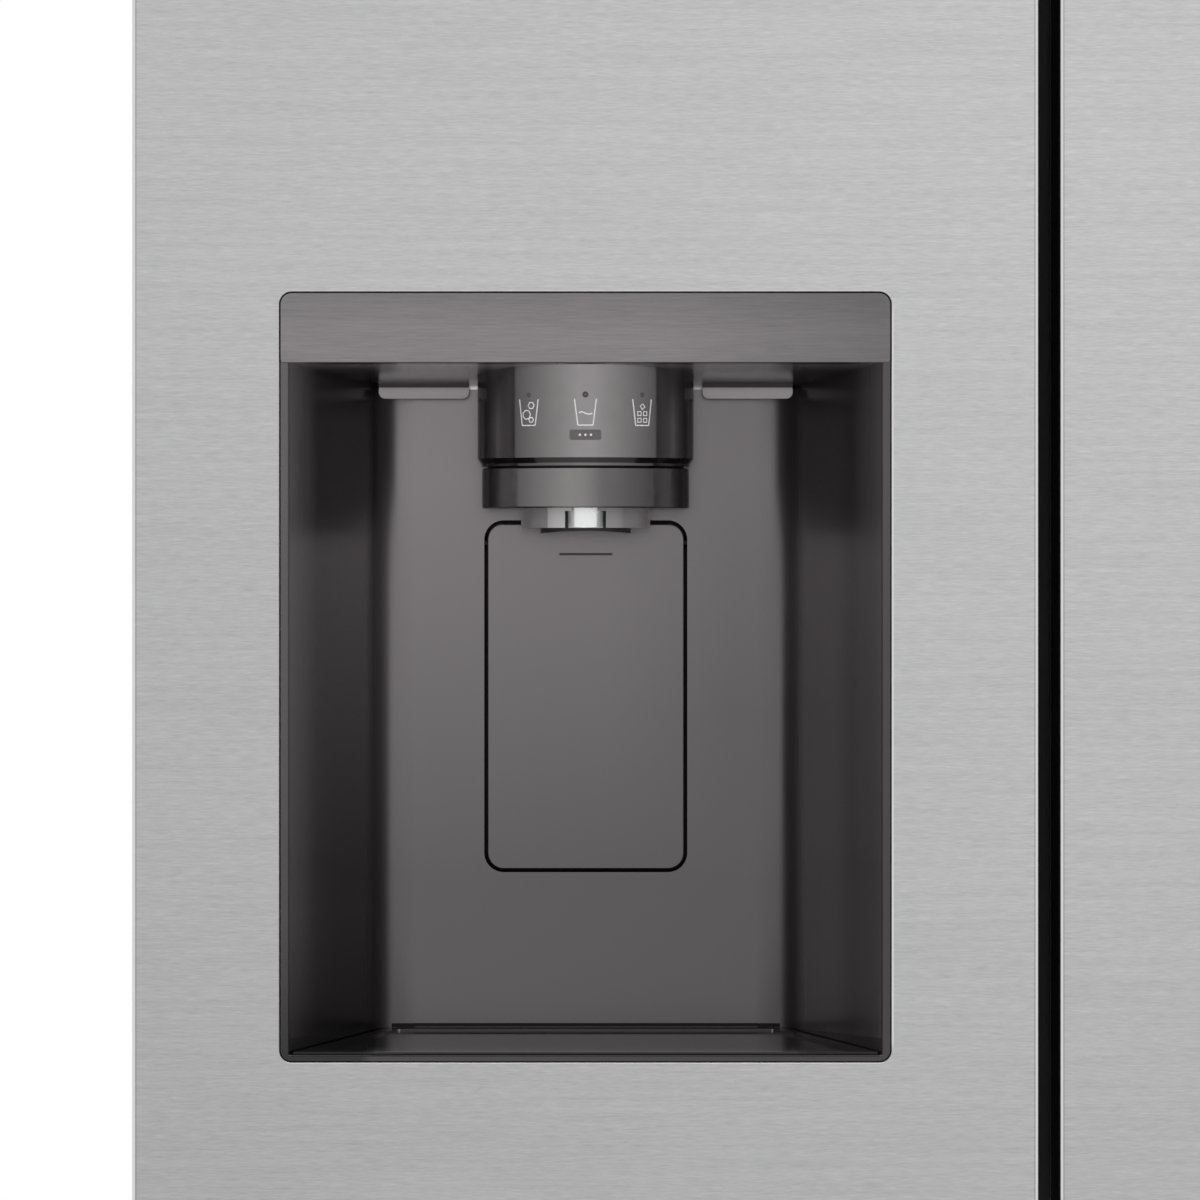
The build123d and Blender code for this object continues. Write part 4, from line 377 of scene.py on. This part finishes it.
def door_steel():
    """The doors' steel: painted highlights on the hems, and near-black flanks that face each other
    across the gap, also painted shade in the gap.
    """
    finish = brushed(
        "door_steel",
        STEEL_COLOUR,
        spread=0.15,
        rough=0.34,
        fine=(130.0, 130.0, 1600.0),
        broad=(14.0, 14.0, 520.0),
    )
    x, y, z = finish.axes()

    # Painted shade: a slow fall of tone to the left and downwards
    finish.falls(x, STEEL_SHADE_ACROSS)
    finish.falls(z, STEEL_SHADE_DOWN)

    # Painted highlights on the folded hems and the rolled edge, with a faint painted shade line
    # beside the hems
    edge = finish.apart(x, FREEZER_LOW[0])
    for place in (FREEZER_HIGH[0], FRIDGE_LOW[0], FRIDGE_HIGH[0]):
        edge = finish.math("MINIMUM", edge, finish.apart(x, place))
    finish.where(finish.band(edge, HEM_STOP, HEM_LINE_STOP), HEM_SHADE_LINE_LEVEL)
    rolled = finish.both(
        finish.band(x, HOUSING_HIGH[0], HOUSING_HIGH[0] + ROLLED_WIDTH),
        finish.rise(z, HOUSING_FOOT + ROLLED_START, HOUSING_FOOT + ROLLED_FULL),
        finish.drop(z, HOUSING_HEAD - ROLLED_FULL, HOUSING_HEAD - ROLLED_START),
    )
    hem = finish.math("MAXIMUM", finish.band(edge, HEM_START, HEM_STOP), rolled)
    finish.colour(finish.shade(hem, finish.source("Base Color"), HEM_HIGHLIGHT_COLOUR))

    # The black flanks, their near-black also painted shade in the gap between the doors
    gap = finish.band(x, DOOR_GAP[0] - FLANK_START, DOOR_GAP[1] + FLANK_START)
    flank = finish.both(gap, finish.over(y, DOOR_FACE + FLANK_START))
    finish.colour(finish.shade(flank, finish.source("Base Color"), FLANK_BLACK_AND_GAP_SHADE))
    finish.metal(finish.opposite(flank))
    return finish


# The tint of the dispenser's dark metal seen edge on
DARK_EDGE = (0.25, 0.25, 0.25, 1.0)

# The recess: its colour, its metal, and its painted light and shade. A single number is the part of
# the colour left in a place, or how far it is lifted.
# A row of four is the first and last level, then the first and last place.
RECESS_COLOUR = (0.207, 0.193, 0.197)
RECESS_METAL = (0.42, 0.88, 2 * MM, 28 * MM)
BACK_WALL_LIGHT_UP = ((0.62, 1.12, HOUSING_FOOT + 75 * MM, HOUSING_FOOT + 255 * MM),)
BACK_WALL_SHADE_ACROSS = ((0.97, 0.78, HOUSING_LOW[0], HOUSING_HIGH[0]),)
BACK_WALL_UPPER_RIGHT_SHADE = 0.85
RIGHT_WALL_LIGHT_UP = (2.5, 1.8, HOUSING_FOOT + 45 * MM, DRUM_FOOT)
LEFT_WALL_LIGHT_AND_SHADE_UP = (0.55, 1.2, HOUSING_FOOT + 80 * MM, DRUM_FOOT)
LEFT_CORNER_SHADE = 0.40
WALL_HEAD_SHADE = 0.25
LEFT_WALL_FOOT_SHADE = 0.35
CEILING_LEFT_LIGHT = 1.4
CEILING_REAR_LIGHT = 2.4
CEILING_SHADOW_LINE = 0.2
RIM_SHADE = 0.52
TRAY_PAINTED_SHEEN = 1.8
TRAY_SIDES_SHADE = 0.5
TRAY_STEP_SHADE = 0.25
TRAY_LIP_SHADE = 0.10
TRAY_REAR_GAP_SHADE = 0.08
PADDLE_MARK_SHADE = 0.25
BEHIND_PADDLE_SHADE = 0.08

# How rough the tray and the recess's bends are beside the rest
TRAY_ROUGHNESS = 0.35
CORNER_ROUGHNESS = 1.9

# A hair over the tray, so that its top face counts as tray
HAIR = 0.05 * MM


def dispenser_grey():
    """The recess's metallic grey: less metallic and so lighter at its mouth, with painted light
    towards its head and painted shade deep in its corners and gaps.
    """
    finish = grained("dispenser_plastic", RECESS_COLOUR, 0.03, 0.20, 2200.0, 0.004 * MM)
    x, y, z = finish.axes()
    side = finish.apart(x, DRUM_X)
    depth = finish.math("SUBTRACT", y, DOOR_FACE)
    finish.metal(finish.between(depth, *RECESS_METAL))

    # Painted light and shade: the back wall falls in tone downwards and to the right, with more
    # painted shade at its upper right
    finish.falls(z, BACK_WALL_LIGHT_UP)
    finish.falls(x, BACK_WALL_SHADE_ACROSS)
    upper = finish.rise(z, HOUSING_FOOT + 80 * MM, HOUSING_FOOT + 150 * MM)
    upper_right = finish.both(upper, finish.rise(x, DRUM_X + 10 * MM, DRUM_X + 65 * MM))
    finish.where(upper_right, BACK_WALL_UPPER_RIGHT_SHADE)

    # Painted light on the right wall, and painted shade on the left one lower down and in its inner
    # and lower corners, and on both walls in their upper corners
    left = finish.under(x, DRUM_X)
    right = finish.opposite(left)
    wall = finish.rise(side, RECESS_HALF + 1 * MM, RECESS_HALF + 5 * MM)
    inner = finish.rise(depth, 12 * MM, 45 * MM)
    finish.where(finish.both(wall, right, inner), finish.between(z, *RIGHT_WALL_LIGHT_UP))
    finish.where(finish.both(wall, left, inner), finish.between(z, *LEFT_WALL_LIGHT_AND_SHADE_UP))
    corner = finish.drop(finish.apart(side, RECESS_HALF + 2 * MM), 0.0, 3.5 * MM)
    finish.where(finish.both(corner, left, inner), LEFT_CORNER_SHADE)
    high = finish.rise(z, DRUM_FOOT + 20 * MM, DRUM_FOOT + 40 * MM)
    finish.where(finish.both(high, wall, inner), WALL_HEAD_SHADE)
    tray_low, tray_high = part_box("drip_tray")
    foot = finish.drop(z, tray_low[2], tray_low[2] + 60 * MM)
    finish.where(finish.both(foot, wall, left), LEFT_WALL_FOOT_SHADE)

    # Painted light on the ceiling's left and rear, and a painted shadow line along its front
    ceiling = finish.over(z, DRUM_FOOT + 35 * MM)
    middle = finish.under(side, RECESS_HALF)
    rear = finish.rise(depth, 58 * MM, 72 * MM)
    front_line = finish.band(depth, 1 * MM, 6 * MM)
    off_walls = finish.drop(side, 112 * MM, 124 * MM)
    finish.where(finish.both(ceiling, left, middle), CEILING_LEFT_LIGHT)
    finish.where(finish.both(ceiling, middle, rear), CEILING_REAR_LIGHT)
    finish.where(finish.both(ceiling, off_walls, front_line), CEILING_SHADOW_LINE)

    # Painted shade: the rim round the mouth is darker than the walls
    finish.where(finish.drop(depth, 1.2 * MM, 3.0 * MM), RIM_SHADE)

    # Painted sheen in the tray's middle, and painted shade at its sides, in its gaps, at its step
    # and under its lip
    tray_top = tray_high[2] + HAIR
    low = finish.both(finish.under(z, tray_top), finish.over(depth, 2 * MM))
    finish.where(finish.both(low, middle), TRAY_PAINTED_SHEEN)
    finish.where(finish.both(low, wall), TRAY_SIDES_SHADE)
    step = finish.under(finish.apart(y, tray_high[1] - 6 * MM), 0.4 * MM)
    finish.where(finish.both(low, step), TRAY_STEP_SHADE)
    lip = finish.band(z, HOUSING_FOOT + 2.0 * MM, HOUSING_FOOT + 3.8 * MM)
    mouth = finish.under(depth, 8 * MM)
    lip_sides = finish.under(side, 127 * MM)
    finish.where(finish.both(lip, mouth, lip_sides), TRAY_LIP_SHADE)
    rear_gap = finish.band(z, tray_top, tray_high[2] + 1.75 * MM)
    finish.where(finish.both(rear_gap, finish.over(y, tray_high[1])), TRAY_REAR_GAP_SHADE)

    # The tray is glossier, and the recess is duller where its walls bend
    bend = finish.drop(finish.apart(side, RECESS_HALF - 5 * MM), 4 * MM, 12 * MM)
    bend = finish.both(bend, finish.opposite(ceiling))
    matt = finish.source("Roughness")
    matt = finish.both(matt, finish.between(low, 1.0, TRAY_ROUGHNESS, 0.0, 1.0))
    finish.gloss(finish.both(matt, finish.between(bend, 1.0, CORNER_ROUGHNESS, 0.0, 1.0)))

    # Painted shade in the groove of the paddle's mark, and in the room behind the paddle
    paddle_low, paddle_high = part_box("dispenser_paddle")
    mark = finish.band(z, paddle_high[2] - 14.15 * MM, paddle_high[2] - 13.05 * MM)
    mark_sides = finish.under(side, 11.75 * MM)
    plate = finish.over(y, paddle_low[1] - 1 * MM)
    finish.where(finish.both(mark, mark_sides, plate), PADDLE_MARK_SHADE)
    finish.where(finish.over(y, paddle_low[1] + 2.2 * MM), BEHIND_PADDLE_SHADE)
    return finish


# Painted shade on the fascia, to the right and along its top
FASCIA_SHADE_ACROSS = ((1.0, 0.72, DRUM_X + 30 * MM, HOUSING_HIGH[0]),)
FASCIA_SHADE_UP = ((1.0, 0.85, HOUSING_HEAD - 16 * MM, HOUSING_HEAD),)


def fascia_strip():
    """The dark brushed strip, with painted shade to the right and along its top."""
    finish = brushed(
        "dispenser_trim",
        (0.236, 0.222, 0.226),
        spread=0.14,
        rough=0.36,
        fine=(80.0, 80.0, 1700.0),
        broad=(9.0, 9.0, 420.0),
    )
    x, _, z = finish.axes()
    finish.falls(x, FASCIA_SHADE_ACROSS)
    finish.falls(z, FASCIA_SHADE_UP)
    return finish


# Painted shade towards the drum's sides with painted light at its edges, and painted shade along its
# foot
DRUM_LIGHT_AND_SHADE_OUTWARD = (
    (0.93, 0.27, 3 * MM, 31 * MM),
    (1.0, 2.0, 30.5 * MM, 32.5 * MM),
    (1.0, 1.8, 36 * MM, 40 * MM),
)
DRUM_LINE_START = DRUM_FOOT + 1.2 * MM
DRUM_LINE_STOP = DRUM_FOOT + 3.5 * MM
DRUM_SHADOW_LINE = 0.16
DRUM_EDGE_SHADE = 0.60


def drum_gloss():
    """The glossy drum, with painted shade towards its sides, painted light at its edges and a
    painted shadow line round its foot.
    """
    finish = polished("head_gloss", (0.305, 0.288, 0.292), 0.11, 0.90, Specular_Tint=DARK_EDGE)
    x, _, z = finish.axes()
    finish.falls(finish.apart(x, DRUM_X), DRUM_LIGHT_AND_SHADE_OUTWARD)
    finish.where(finish.band(z, DRUM_LINE_START, DRUM_LINE_STOP), DRUM_SHADOW_LINE)
    finish.where(finish.under(z, DRUM_LINE_START), DRUM_EDGE_SHADE)
    return finish


# Painted light and shade across the ring, and painted shade in its groove
RING_LIGHT_AND_SHADE_OUTWARD = (
    (0.96, 0.42, 2 * MM, 27 * MM),
    (1.0, 1.9, 28 * MM, 31 * MM),
)
RING_LIGHT_AND_SHADE_ACROSS = (
    (1.08, 0.62, DRUM_X - 8 * MM, DRUM_X + 7 * MM),
    (1.0, 1.5, DRUM_X + 29 * MM, DRUM_X + 33 * MM),
)
RING_GROOVE_HEIGHT = 0.68 * MM
RING_GROOVE_SHADE = 0.06


def ring_grey():
    """The ring under the drum, with painted light and shade across it and a painted shadow in the
    groove where they meet.
    """
    finish = polished("ring_satin", (0.262, 0.249, 0.251), 0.20, 0.90, Specular_Tint=DARK_EDGE)
    x, _, z = finish.axes()
    finish.falls(finish.apart(x, DRUM_X), RING_LIGHT_AND_SHADE_OUTWARD)
    finish.falls(x, RING_LIGHT_AND_SHADE_ACROSS)
    finish.where(finish.over(z, DRUM_FOOT - RING_GROOVE_HEIGHT), RING_GROOVE_SHADE)
    return finish


# Painted shadow line along the top of the lamps
TAB_LINE_HEIGHT = 1.5 * MM
TAB_SHADOW_LINE = 0.12


def tab_grey():
    """The small lamps under the ceiling, with a painted shadow line where they leave it."""
    finish = grained("lamp_tab", (0.275, 0.258, 0.262), 0.04, 0.30, 1800.0, 0.01 * MM, Metallic=0.90)
    _, _, z = finish.axes()
    tab_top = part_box("dispenser_lamps")[1][2]
    finish.where(finish.over(z, tab_top - TAB_LINE_HEIGHT), TAB_SHADOW_LINE)
    return finish


# Painted highlight left of the nozzle and painted light towards the deflector's sides
DEFLECTOR_LIGHT_OUTWARD = ((1.0, 2.8, 17 * MM, 25 * MM),)
DEFLECTOR_HIGHLIGHT = 1.7


def deflector_grey():
    """The satin rim round the nozzle, with a painted highlight just left of it and painted light
    towards its sides.
    """
    finish = brushed(
        "deflector_satin",
        (0.270, 0.261, 0.263),
        spread=0.04,
        rough=0.42,
        fine=(60.0, 60.0, 1500.0),
        broad=(20.0, 20.0, 300.0),
    )
    x, _, _ = finish.axes()
    bright = finish.band(x, DRUM_X - 16.5 * MM, DRUM_X - 6 * MM)
    finish.where(bright, DEFLECTOR_HIGHLIGHT)
    finish.falls(finish.apart(x, DRUM_X), DEFLECTOR_LIGHT_OUTWARD)
    return finish


# The rear
SEAM_HALF = 0.9 * MM
SEAM = 0.2


def plated_sheet():
    """The plated sheet, with a dark seam where the rear panel meets the machine room's cover."""
    finish = spangled("plated_steel", (0.50, 0.51, 0.52), 0.40)
    _, y, z = finish.axes()
    seam = finish.under(finish.apart(z, COVER_HIGH[2]), SEAM_HALF)
    finish.where(finish.both(seam, finish.over(y, COVER_LOW[1] - 1 * MM)), SEAM)
    return finish


# Grained finishes: colour, spread of tone, roughness, grains for each metre, depth of the grain
GRAINED = {
    "case_paint": ((0.19, 0.19, 0.195), 0.06, 0.42, 900.0, 0.06 * MM),
    "black_steel": ((0.022, 0.022, 0.023), 0.15, 0.45, 700.0, 0.03 * MM),
    "white_liner": ((0.80, 0.81, 0.82), 0.02, 0.32, 320.0, 0.02 * MM),
    "grey_plastic": ((0.13, 0.13, 0.134), 0.08, 0.52, 1500.0, 0.05 * MM),
    "black_plastic": ((0.02, 0.02, 0.02), 0.12, 0.50, 1400.0, 0.05 * MM),
    "gasket_grey": ((0.24, 0.24, 0.245), 0.06, 0.62, 800.0, 0.05 * MM),
    "ice_white": ((0.74, 0.78, 0.82), 0.02, 0.35, 400.0, 0.02 * MM),
    "valve_body": ((0.72, 0.72, 0.69), 0.04, 0.50, 900.0, 0.04 * MM),
}

FINISHES = {
    "steel_front": door_steel(),
    "plated_steel": plated_sheet(),
    "foam": porous("foam", (0.84, 0.78, 0.60)),
    "dispenser_plastic": dispenser_grey(),
    "dispenser_trim": fascia_strip(),
    "head_gloss": drum_gloss(),
    "ring_satin": ring_grey(),
    "deflector_satin": deflector_grey(),
    "bright_chrome": polished("bright_chrome", (0.97, 0.98, 0.98), 0.22, 0.50),
    "lamp_tab": tab_grey(),
    "lamp_lens": frosted("lamp_lens", (0.78, 0.78, 0.76), 0.45),
    "clear_plastic": clear("clear_plastic", (0.90, 0.95, 0.97), 0.08, 0.96),
    "shelf_glass": clear("shelf_glass", (0.88, 0.96, 0.94), 0.03, 0.97),
    "aluminium_coil": brushed(
        "aluminium_coil",
        (0.72, 0.73, 0.74),
        spread=0.06,
        rough=0.35,
        fine=(60.0, 500.0, 500.0),
        broad=(20.0, 60.0, 60.0),
    ),
}
for surface, values in GRAINED.items():
    FINISHES[surface] = grained(surface, *values)

for subpart in frame["record"]["subparts"]:
    mesh = nodes[subpart["node"]].data
    mesh.materials.clear()
    mesh.materials.append(FINISHES[subpart["material_slot"]].material)

sign_white = Finish("sign_white", Roughness=0.5)
sign_speck = sign_white.noise(even(2600.0))
sign_white.colour(sign_white.shade(sign_speck, grey(0.86), grey(0.97)))
sign_dark = grained("sign_dark", (0.042, 0.040, 0.040), 0.1, 0.3, 1200.0, 0.005 * MM)
pill_grey = grained("pill_grey", (0.115, 0.109, 0.111), 0.08, 0.4, 1200.0, 0.005 * MM)


# New pieces
def add_piece(name, mesh, body, finish):
    """Put a new mesh in the scene, on its body and in its slot."""
    piece = bpy.data.objects.new(name, mesh)
    bpy.context.scene.collection.objects.link(piece)
    mesh.materials.clear()
    mesh.materials.append(finish.material)
    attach(piece, body)


def finish_mesh(name, bm):
    bmesh.ops.recalc_face_normals(bm, faces=bm.faces)
    mesh = bpy.data.meshes.new(name)
    bm.to_mesh(mesh)
    bm.free()
    return mesh


# The touch signs on the drum, drawn flat in millimetres and then laid round it
SIGN_TOP = 1.2862
SIGN_ANGLE = math.radians(31.4)
STROKE = 0.29
PRINT_HEIGHT = 0.06
STROKE_PROUD = PRINT_HEIGHT / STROKE
LAMP_RISE = 1.9 * MM
LAMP_RADIUS = 1.0
MIDDLE_LAMP_RADIUS = 1.35
LAMP_PROUD = 0.05
CORE_SHARE = 0.35
CORE_PROUD = 0.08
LABEL_DROP = 15.5 * MM
LABEL_SIZE = (13.8, 4.5)
LABEL_CORNER = 0.8
LABEL_PROUD = 0.05
DOT_RADIUS = 0.32
DOT_PLACES = (-2.4, 0.0, 2.4)
DOT_PROUD = 2 * PRINT_HEIGHT / STROKE


def laid_on_drum(mesh, angle, height, proud):
    """Bend a flat drawing round the drum: X along it, Y up it, Z out of it."""
    for vertex in mesh.vertices:
        along, up, out = vertex.co * MM
        turn = angle + along / DRUM_RADIUS
        radius = DRUM_RADIUS + out * proud
        x = DRUM_X + radius * math.sin(turn)
        y = DRUM_Y - radius * math.cos(turn)
        vertex.co = (x, y, height + up)
    mesh.update()


def add_sign(name, mesh, angle, height, proud, finish):
    """Lay a flat drawing on the drum as a piece of its own."""
    laid_on_drum(mesh, angle, height, proud)
    add_piece(name, mesh, "freezer_door", finish)


def drawn_strokes(name, strokes):
    """Printed lines: each stroke is a run of points and whether it closes."""
    curve = bpy.data.curves.new(name, "CURVE")
    curve.dimensions = "3D"
    curve.bevel_depth = STROKE
    curve.bevel_resolution = 1
    curve.use_fill_caps = True
    for points, closed in strokes:
        spline = curve.splines.new("POLY")
        spline.points.add(len(points) - 1)
        for knot, point in zip(spline.points, points):
            knot.co = (*point, 0.0, 1.0)
        spline.use_cyclic_u = closed
    holder = bpy.data.objects.new(name, curve)
    mesh = bpy.data.meshes.new_from_object(holder)
    bpy.data.objects.remove(holder)
    bpy.data.curves.remove(curve)
    return mesh


def ring_stroke(x, y, radius, count):
    turns = [2 * math.pi * step / count for step in range(count)]
    return [(x + radius * math.cos(turn), y + radius * math.sin(turn)) for turn in turns], True


def square_stroke(x, y, turn=0.0, half=0.85):
    """A square's outline, turned by an angle."""
    across = half * math.cos(turn)
    along = half * math.sin(turn)
    corners = [(across - along, across + along), (-across - along, across - along)]
    corners += [(-u, -v) for u, v in corners]
    return [(x + u, y + v) for u, v in corners], True


def glass_strokes():
    """The outline of a glass, open at its rim."""
    rim = 4.75
    foot = 3.3
    tall = 11.3
    sides = []
    for way in (-1, 1):
        middle = (way * (rim + foot) / 2, -tall / 2)
        sides.append(([(way * rim, 0.0), middle, (way * foot, -tall)], False))
    sides.append(([(-foot, -tall), (0.0, -tall), (foot, -tall)], False))
    return sides


def crushed_ice_sign():
    """A glass with three rough lumps."""
    lumps = [(1.3, -2.7, 1.5, 6), (-1.0, -6.7, 2.0, 7), (1.3, -8.9, 1.15, 6)]
    return glass_strokes() + [ring_stroke(*lump) for lump in lumps]


def water_sign():
    """A glass with a wave."""
    wave = [(-2.9, -5.9), (-1.6, -5.5), (-0.4, -6.0), (0.9, -6.5), (2.2, -6.5), (3.0, -6.1)]
    return glass_strokes() + [(wave, False)]


def ice_cubes_sign():
    """A glass with five square cubes, the top one tipped."""
    cubes = [square_stroke(0.1, -3.2, math.radians(35))]
    for x in (-1.45, 1.45):
        cubes += [square_stroke(x, y) for y in (-6.2, -9.1)]
    return glass_strokes() + cubes


def add_skirt(bm, proud):
    """Raise a flat sheet and carry its rim down below the surface it lies on."""
    bmesh.ops.translate(bm, verts=bm.verts, vec=(0, 0, proud))
    rim = [edge for edge in bm.edges if edge.is_boundary]
    skirt = bmesh.ops.extrude_edge_only(bm, edges=rim)["geom"]
    low = [element for element in skirt if isinstance(element, bmesh.types.BMVert)]
    bmesh.ops.translate(bm, verts=low, vec=(0, 0, -2 * proud))


def flat_lens(name, radius, proud):
    """A small round lamp with a stepped rim."""
    bm = bmesh.new()
    bmesh.ops.create_circle(bm, cap_ends=True, segments=20, radius=radius)
    bmesh.ops.inset_region(bm, faces=bm.faces[:], thickness=radius * 0.3)
    add_skirt(bm, proud)
    return finish_mesh(name, bm)


def label_pill(name):
    """The blank label: a rounded plate fine enough to bend round the drum."""
    bm = bmesh.new()
    bmesh.ops.create_grid(bm, x_segments=14, y_segments=3, size=0.5)
    bmesh.ops.scale(bm, verts=bm.verts, vec=(*LABEL_SIZE, 1))
    corners = [vertex for vertex in bm.verts if len(vertex.link_faces) == 1]
    bmesh.ops.bevel(
        bm,
        geom=corners,
        offset=LABEL_CORNER,
        affect="VERTICES",
        segments=4,
        profile=0.5,
        material=-1,
    )
    add_skirt(bm, LABEL_PROUD)
    return finish_mesh(name, bm)


SIGNS = (
    ("crushed_ice", -SIGN_ANGLE, crushed_ice_sign(), LAMP_RADIUS),
    ("water", 0.0, water_sign(), MIDDLE_LAMP_RADIUS),
    ("ice_cubes", SIGN_ANGLE, ice_cubes_sign(), LAMP_RADIUS),
)
lamp_height = SIGN_TOP + LAMP_RISE
for sign, angle, strokes, lamp_radius in SIGNS:
    name = "sign_" + sign
    mesh = drawn_strokes(name, strokes)
    add_sign(name, mesh, angle, SIGN_TOP, STROKE_PROUD, sign_white)
    name = "sign_lamp_" + sign
    mesh = flat_lens(name, lamp_radius, LAMP_PROUD)
    add_sign(name, mesh, angle, lamp_height, 1.0, sign_dark)
    name = "sign_core_" + sign
    mesh = flat_lens(name, lamp_radius * CORE_SHARE, CORE_PROUD)
    add_sign(name, mesh, angle, lamp_height, 1.0, pill_grey)

label_height = SIGN_TOP - LABEL_DROP
label_mesh = label_pill("sign_label")
add_sign("sign_label", label_mesh, 0.0, label_height, 1.0, pill_grey)
dots = [ring_stroke(x, 0.0, DOT_RADIUS, 8) for x in DOT_PLACES]
dot_mesh = drawn_strokes("sign_label_dots", dots)
add_sign("sign_label_dots", dot_mesh, 0.0, label_height, DOT_PROUD, sign_white)


# Screws that hold the machine room's cover
SCREW_RADIUS = 4.2 * MM
SCREW_HEIGHT = 2.0 * MM
SCREW_EDGE = 14 * MM
SCREW_STEP = 210 * MM
# The head's outline, in shares of its radius and height
SCREW_OUTLINE = ((0.0, 1.0), (0.45, 1.0), (0.8, 0.8), (0.97, 0.4), (1.0, -0.2))


def pan_screw(radius, height):
    """A pan head with a round recess, its axis along Z."""
    bm = bmesh.new()
    points = [bm.verts.new((out * radius, 0, up * height)) for out, up in SCREW_OUTLINE]
    edges = [bm.edges.new(pair) for pair in zip(points, points[1:])]
    bmesh.ops.spin(
        bm,
        geom=points + edges,
        axis=(0, 0, 1),
        cent=(0, 0, 0),
        steps=16,
        angle=2 * math.pi,
        use_merge=True,
    )
    bmesh.ops.remove_doubles(bm, verts=bm.verts, dist=radius * 0.01)
    crown = [face for face in bm.faces if face.calc_center_median().z > 0.95 * height]
    bmesh.ops.inset_region(bm, faces=crown, thickness=radius * 0.12)
    sunk = list({vertex for face in crown for vertex in face.verts})
    bmesh.ops.translate(bm, verts=sunk, vec=(0, 0, -0.6 * height))
    return bm


def screw_row(name, places, y, body):
    """Screws facing the rear, gathered in one piece."""
    joined = bmesh.new()
    for x, z in places:
        screw = pan_screw(SCREW_RADIUS, SCREW_HEIGHT)
        place = Matrix.Translation((x, y, z)) @ Matrix.Rotation(-math.pi / 2, 4, "X")
        bmesh.ops.transform(screw, matrix=place, verts=screw.verts)
        part = bpy.data.meshes.new("part")
        screw.to_mesh(part)
        screw.free()
        joined.from_mesh(part)
        bpy.data.meshes.remove(part)
    add_piece(name, finish_mesh(name, joined), body, FINISHES["plated_steel"])


screw_places = [(step * SCREW_STEP, COVER_HIGH[2] - SCREW_EDGE) for step in range(-2, 3)]
screw_row("cover_screws", screw_places, COVER_HIGH[1], "cabinet")


# Floor, light and camera
def pale_floor():
    """A pale floor that keeps the shadow and fades out into the white room."""
    bm = bmesh.new()
    bmesh.ops.create_grid(bm, x_segments=1, y_segments=1, size=FLOOR_HALF)
    mesh = bpy.data.meshes.new("floor")
    bm.to_mesh(mesh)
    bm.free()
    floor = bpy.data.objects.new("floor", mesh)
    bpy.context.scene.collection.objects.link(floor)
    finish = Finish(
        "floor_pale",
        Roughness=0.7,
        Emission_Color=(1.0, 1.0, 1.0, 1.0),
        Emission_Strength=FLOOR_GLOW,
    )
    cloud = finish.noise(even(0.8))
    finish.colour(finish.shade(cloud, grey(0.84), grey(0.88)))
    reach = finish.node("VectorMath", operation="LENGTH")
    finish.join(finish.place, reach.inputs[0])
    fade = finish.node("MixShader")
    finish.join(finish.rise(reach.outputs["Value"], *FLOOR_FADE), fade.inputs[0])
    finish.join(finish.shader.outputs["BSDF"], fade.inputs[1])
    finish.join(finish.node("BsdfTransparent").outputs["BSDF"], fade.inputs[2])
    finish.join(fade.outputs["Shader"], finish.tree.nodes["Material Output"].inputs["Surface"])
    mesh.materials.append(finish.material)


def studio_sky():
    """A white room that lights the front and the rear more than the sides.

    Seen itself, or in metal and glass, it is plain white.
    """
    world = bpy.data.worlds.new("studio")
    bpy.context.scene.world = world
    world.use_nodes = True
    room = Nodes(world.node_tree)
    sky = world.node_tree.nodes["Background"]
    sky.inputs["Color"].default_value = (1.0, 1.0, 1.0, 1.0)

    axes = room.node("SeparateXYZ")
    room.join(room.node("TexCoord").outputs["Generated"], axes.inputs["Vector"])
    ahead = room.math("MAXIMUM", room.math("MULTIPLY", axes.outputs["Y"], -1.0), 0.0)
    behind = room.math("MAXIMUM", axes.outputs["Y"], 0.0)
    upward = room.math("MAXIMUM", axes.outputs["Z"], 0.0)
    front = room.math("MULTIPLY", room.math("POWER", ahead, SKY_FRONT_FOCUS), SKY_FRONT)
    back = room.math("MULTIPLY", behind, SKY_BACK)
    above = room.math("MULTIPLY", room.math("POWER", upward, SKY_ABOVE_FOCUS), SKY_ABOVE)
    level = room.math("ADD", room.math("ADD", front, back), above)
    level = room.math("ADD", level, SKY_ROUND)

    path = room.node("LightPath")
    shown = room.math("MAXIMUM", path.outputs["Is Camera Ray"], path.outputs["Is Glossy Ray"])
    shown = room.math("MAXIMUM", shown, path.outputs["Is Transmission Ray"])
    seen = room.node("Mix")
    room.join(shown, seen.inputs[0])
    room.join(level, seen.inputs[2])
    seen.inputs[3].default_value = 1.0
    room.join(seen.outputs[0], sky.inputs["Strength"])


def soft_lamp(name, place, target, size, power):
    """A broad lamp aimed at a target."""
    lamp = bpy.data.lights.new(name, "AREA")
    lamp.shape = "RECTANGLE"
    lamp.size, lamp.size_y = size
    lamp.energy = power
    holder = bpy.data.objects.new(name, lamp)
    holder.location = place
    aim = Vector(target) - Vector(place)
    holder.rotation_euler = aim.to_track_quat("-Z", "Y").to_euler()
    bpy.context.scene.collection.objects.link(holder)


def photo_camera():
    """The camera straight in front of the dispenser."""
    camera = bpy.data.cameras.new("photo_camera")
    camera.sensor_width = SENSOR
    camera.lens = LENS
    holder = bpy.data.objects.new("photo_camera", camera)
    holder.location = (CAMERA_X, DOOR_FACE - CAMERA_DISTANCE, CAMERA_Z)
    holder.rotation_euler = (math.pi / 2, 0, 0)
    bpy.context.scene.collection.objects.link(holder)
    bpy.context.scene.camera = holder


pale_floor()
studio_sky()
soft_lamp("top_light", TOP_PLACE, TOP_TARGET, TOP_SIZE, TOP_POWER)
photo_camera()
bpy.context.scene.view_settings.view_transform = "Standard"
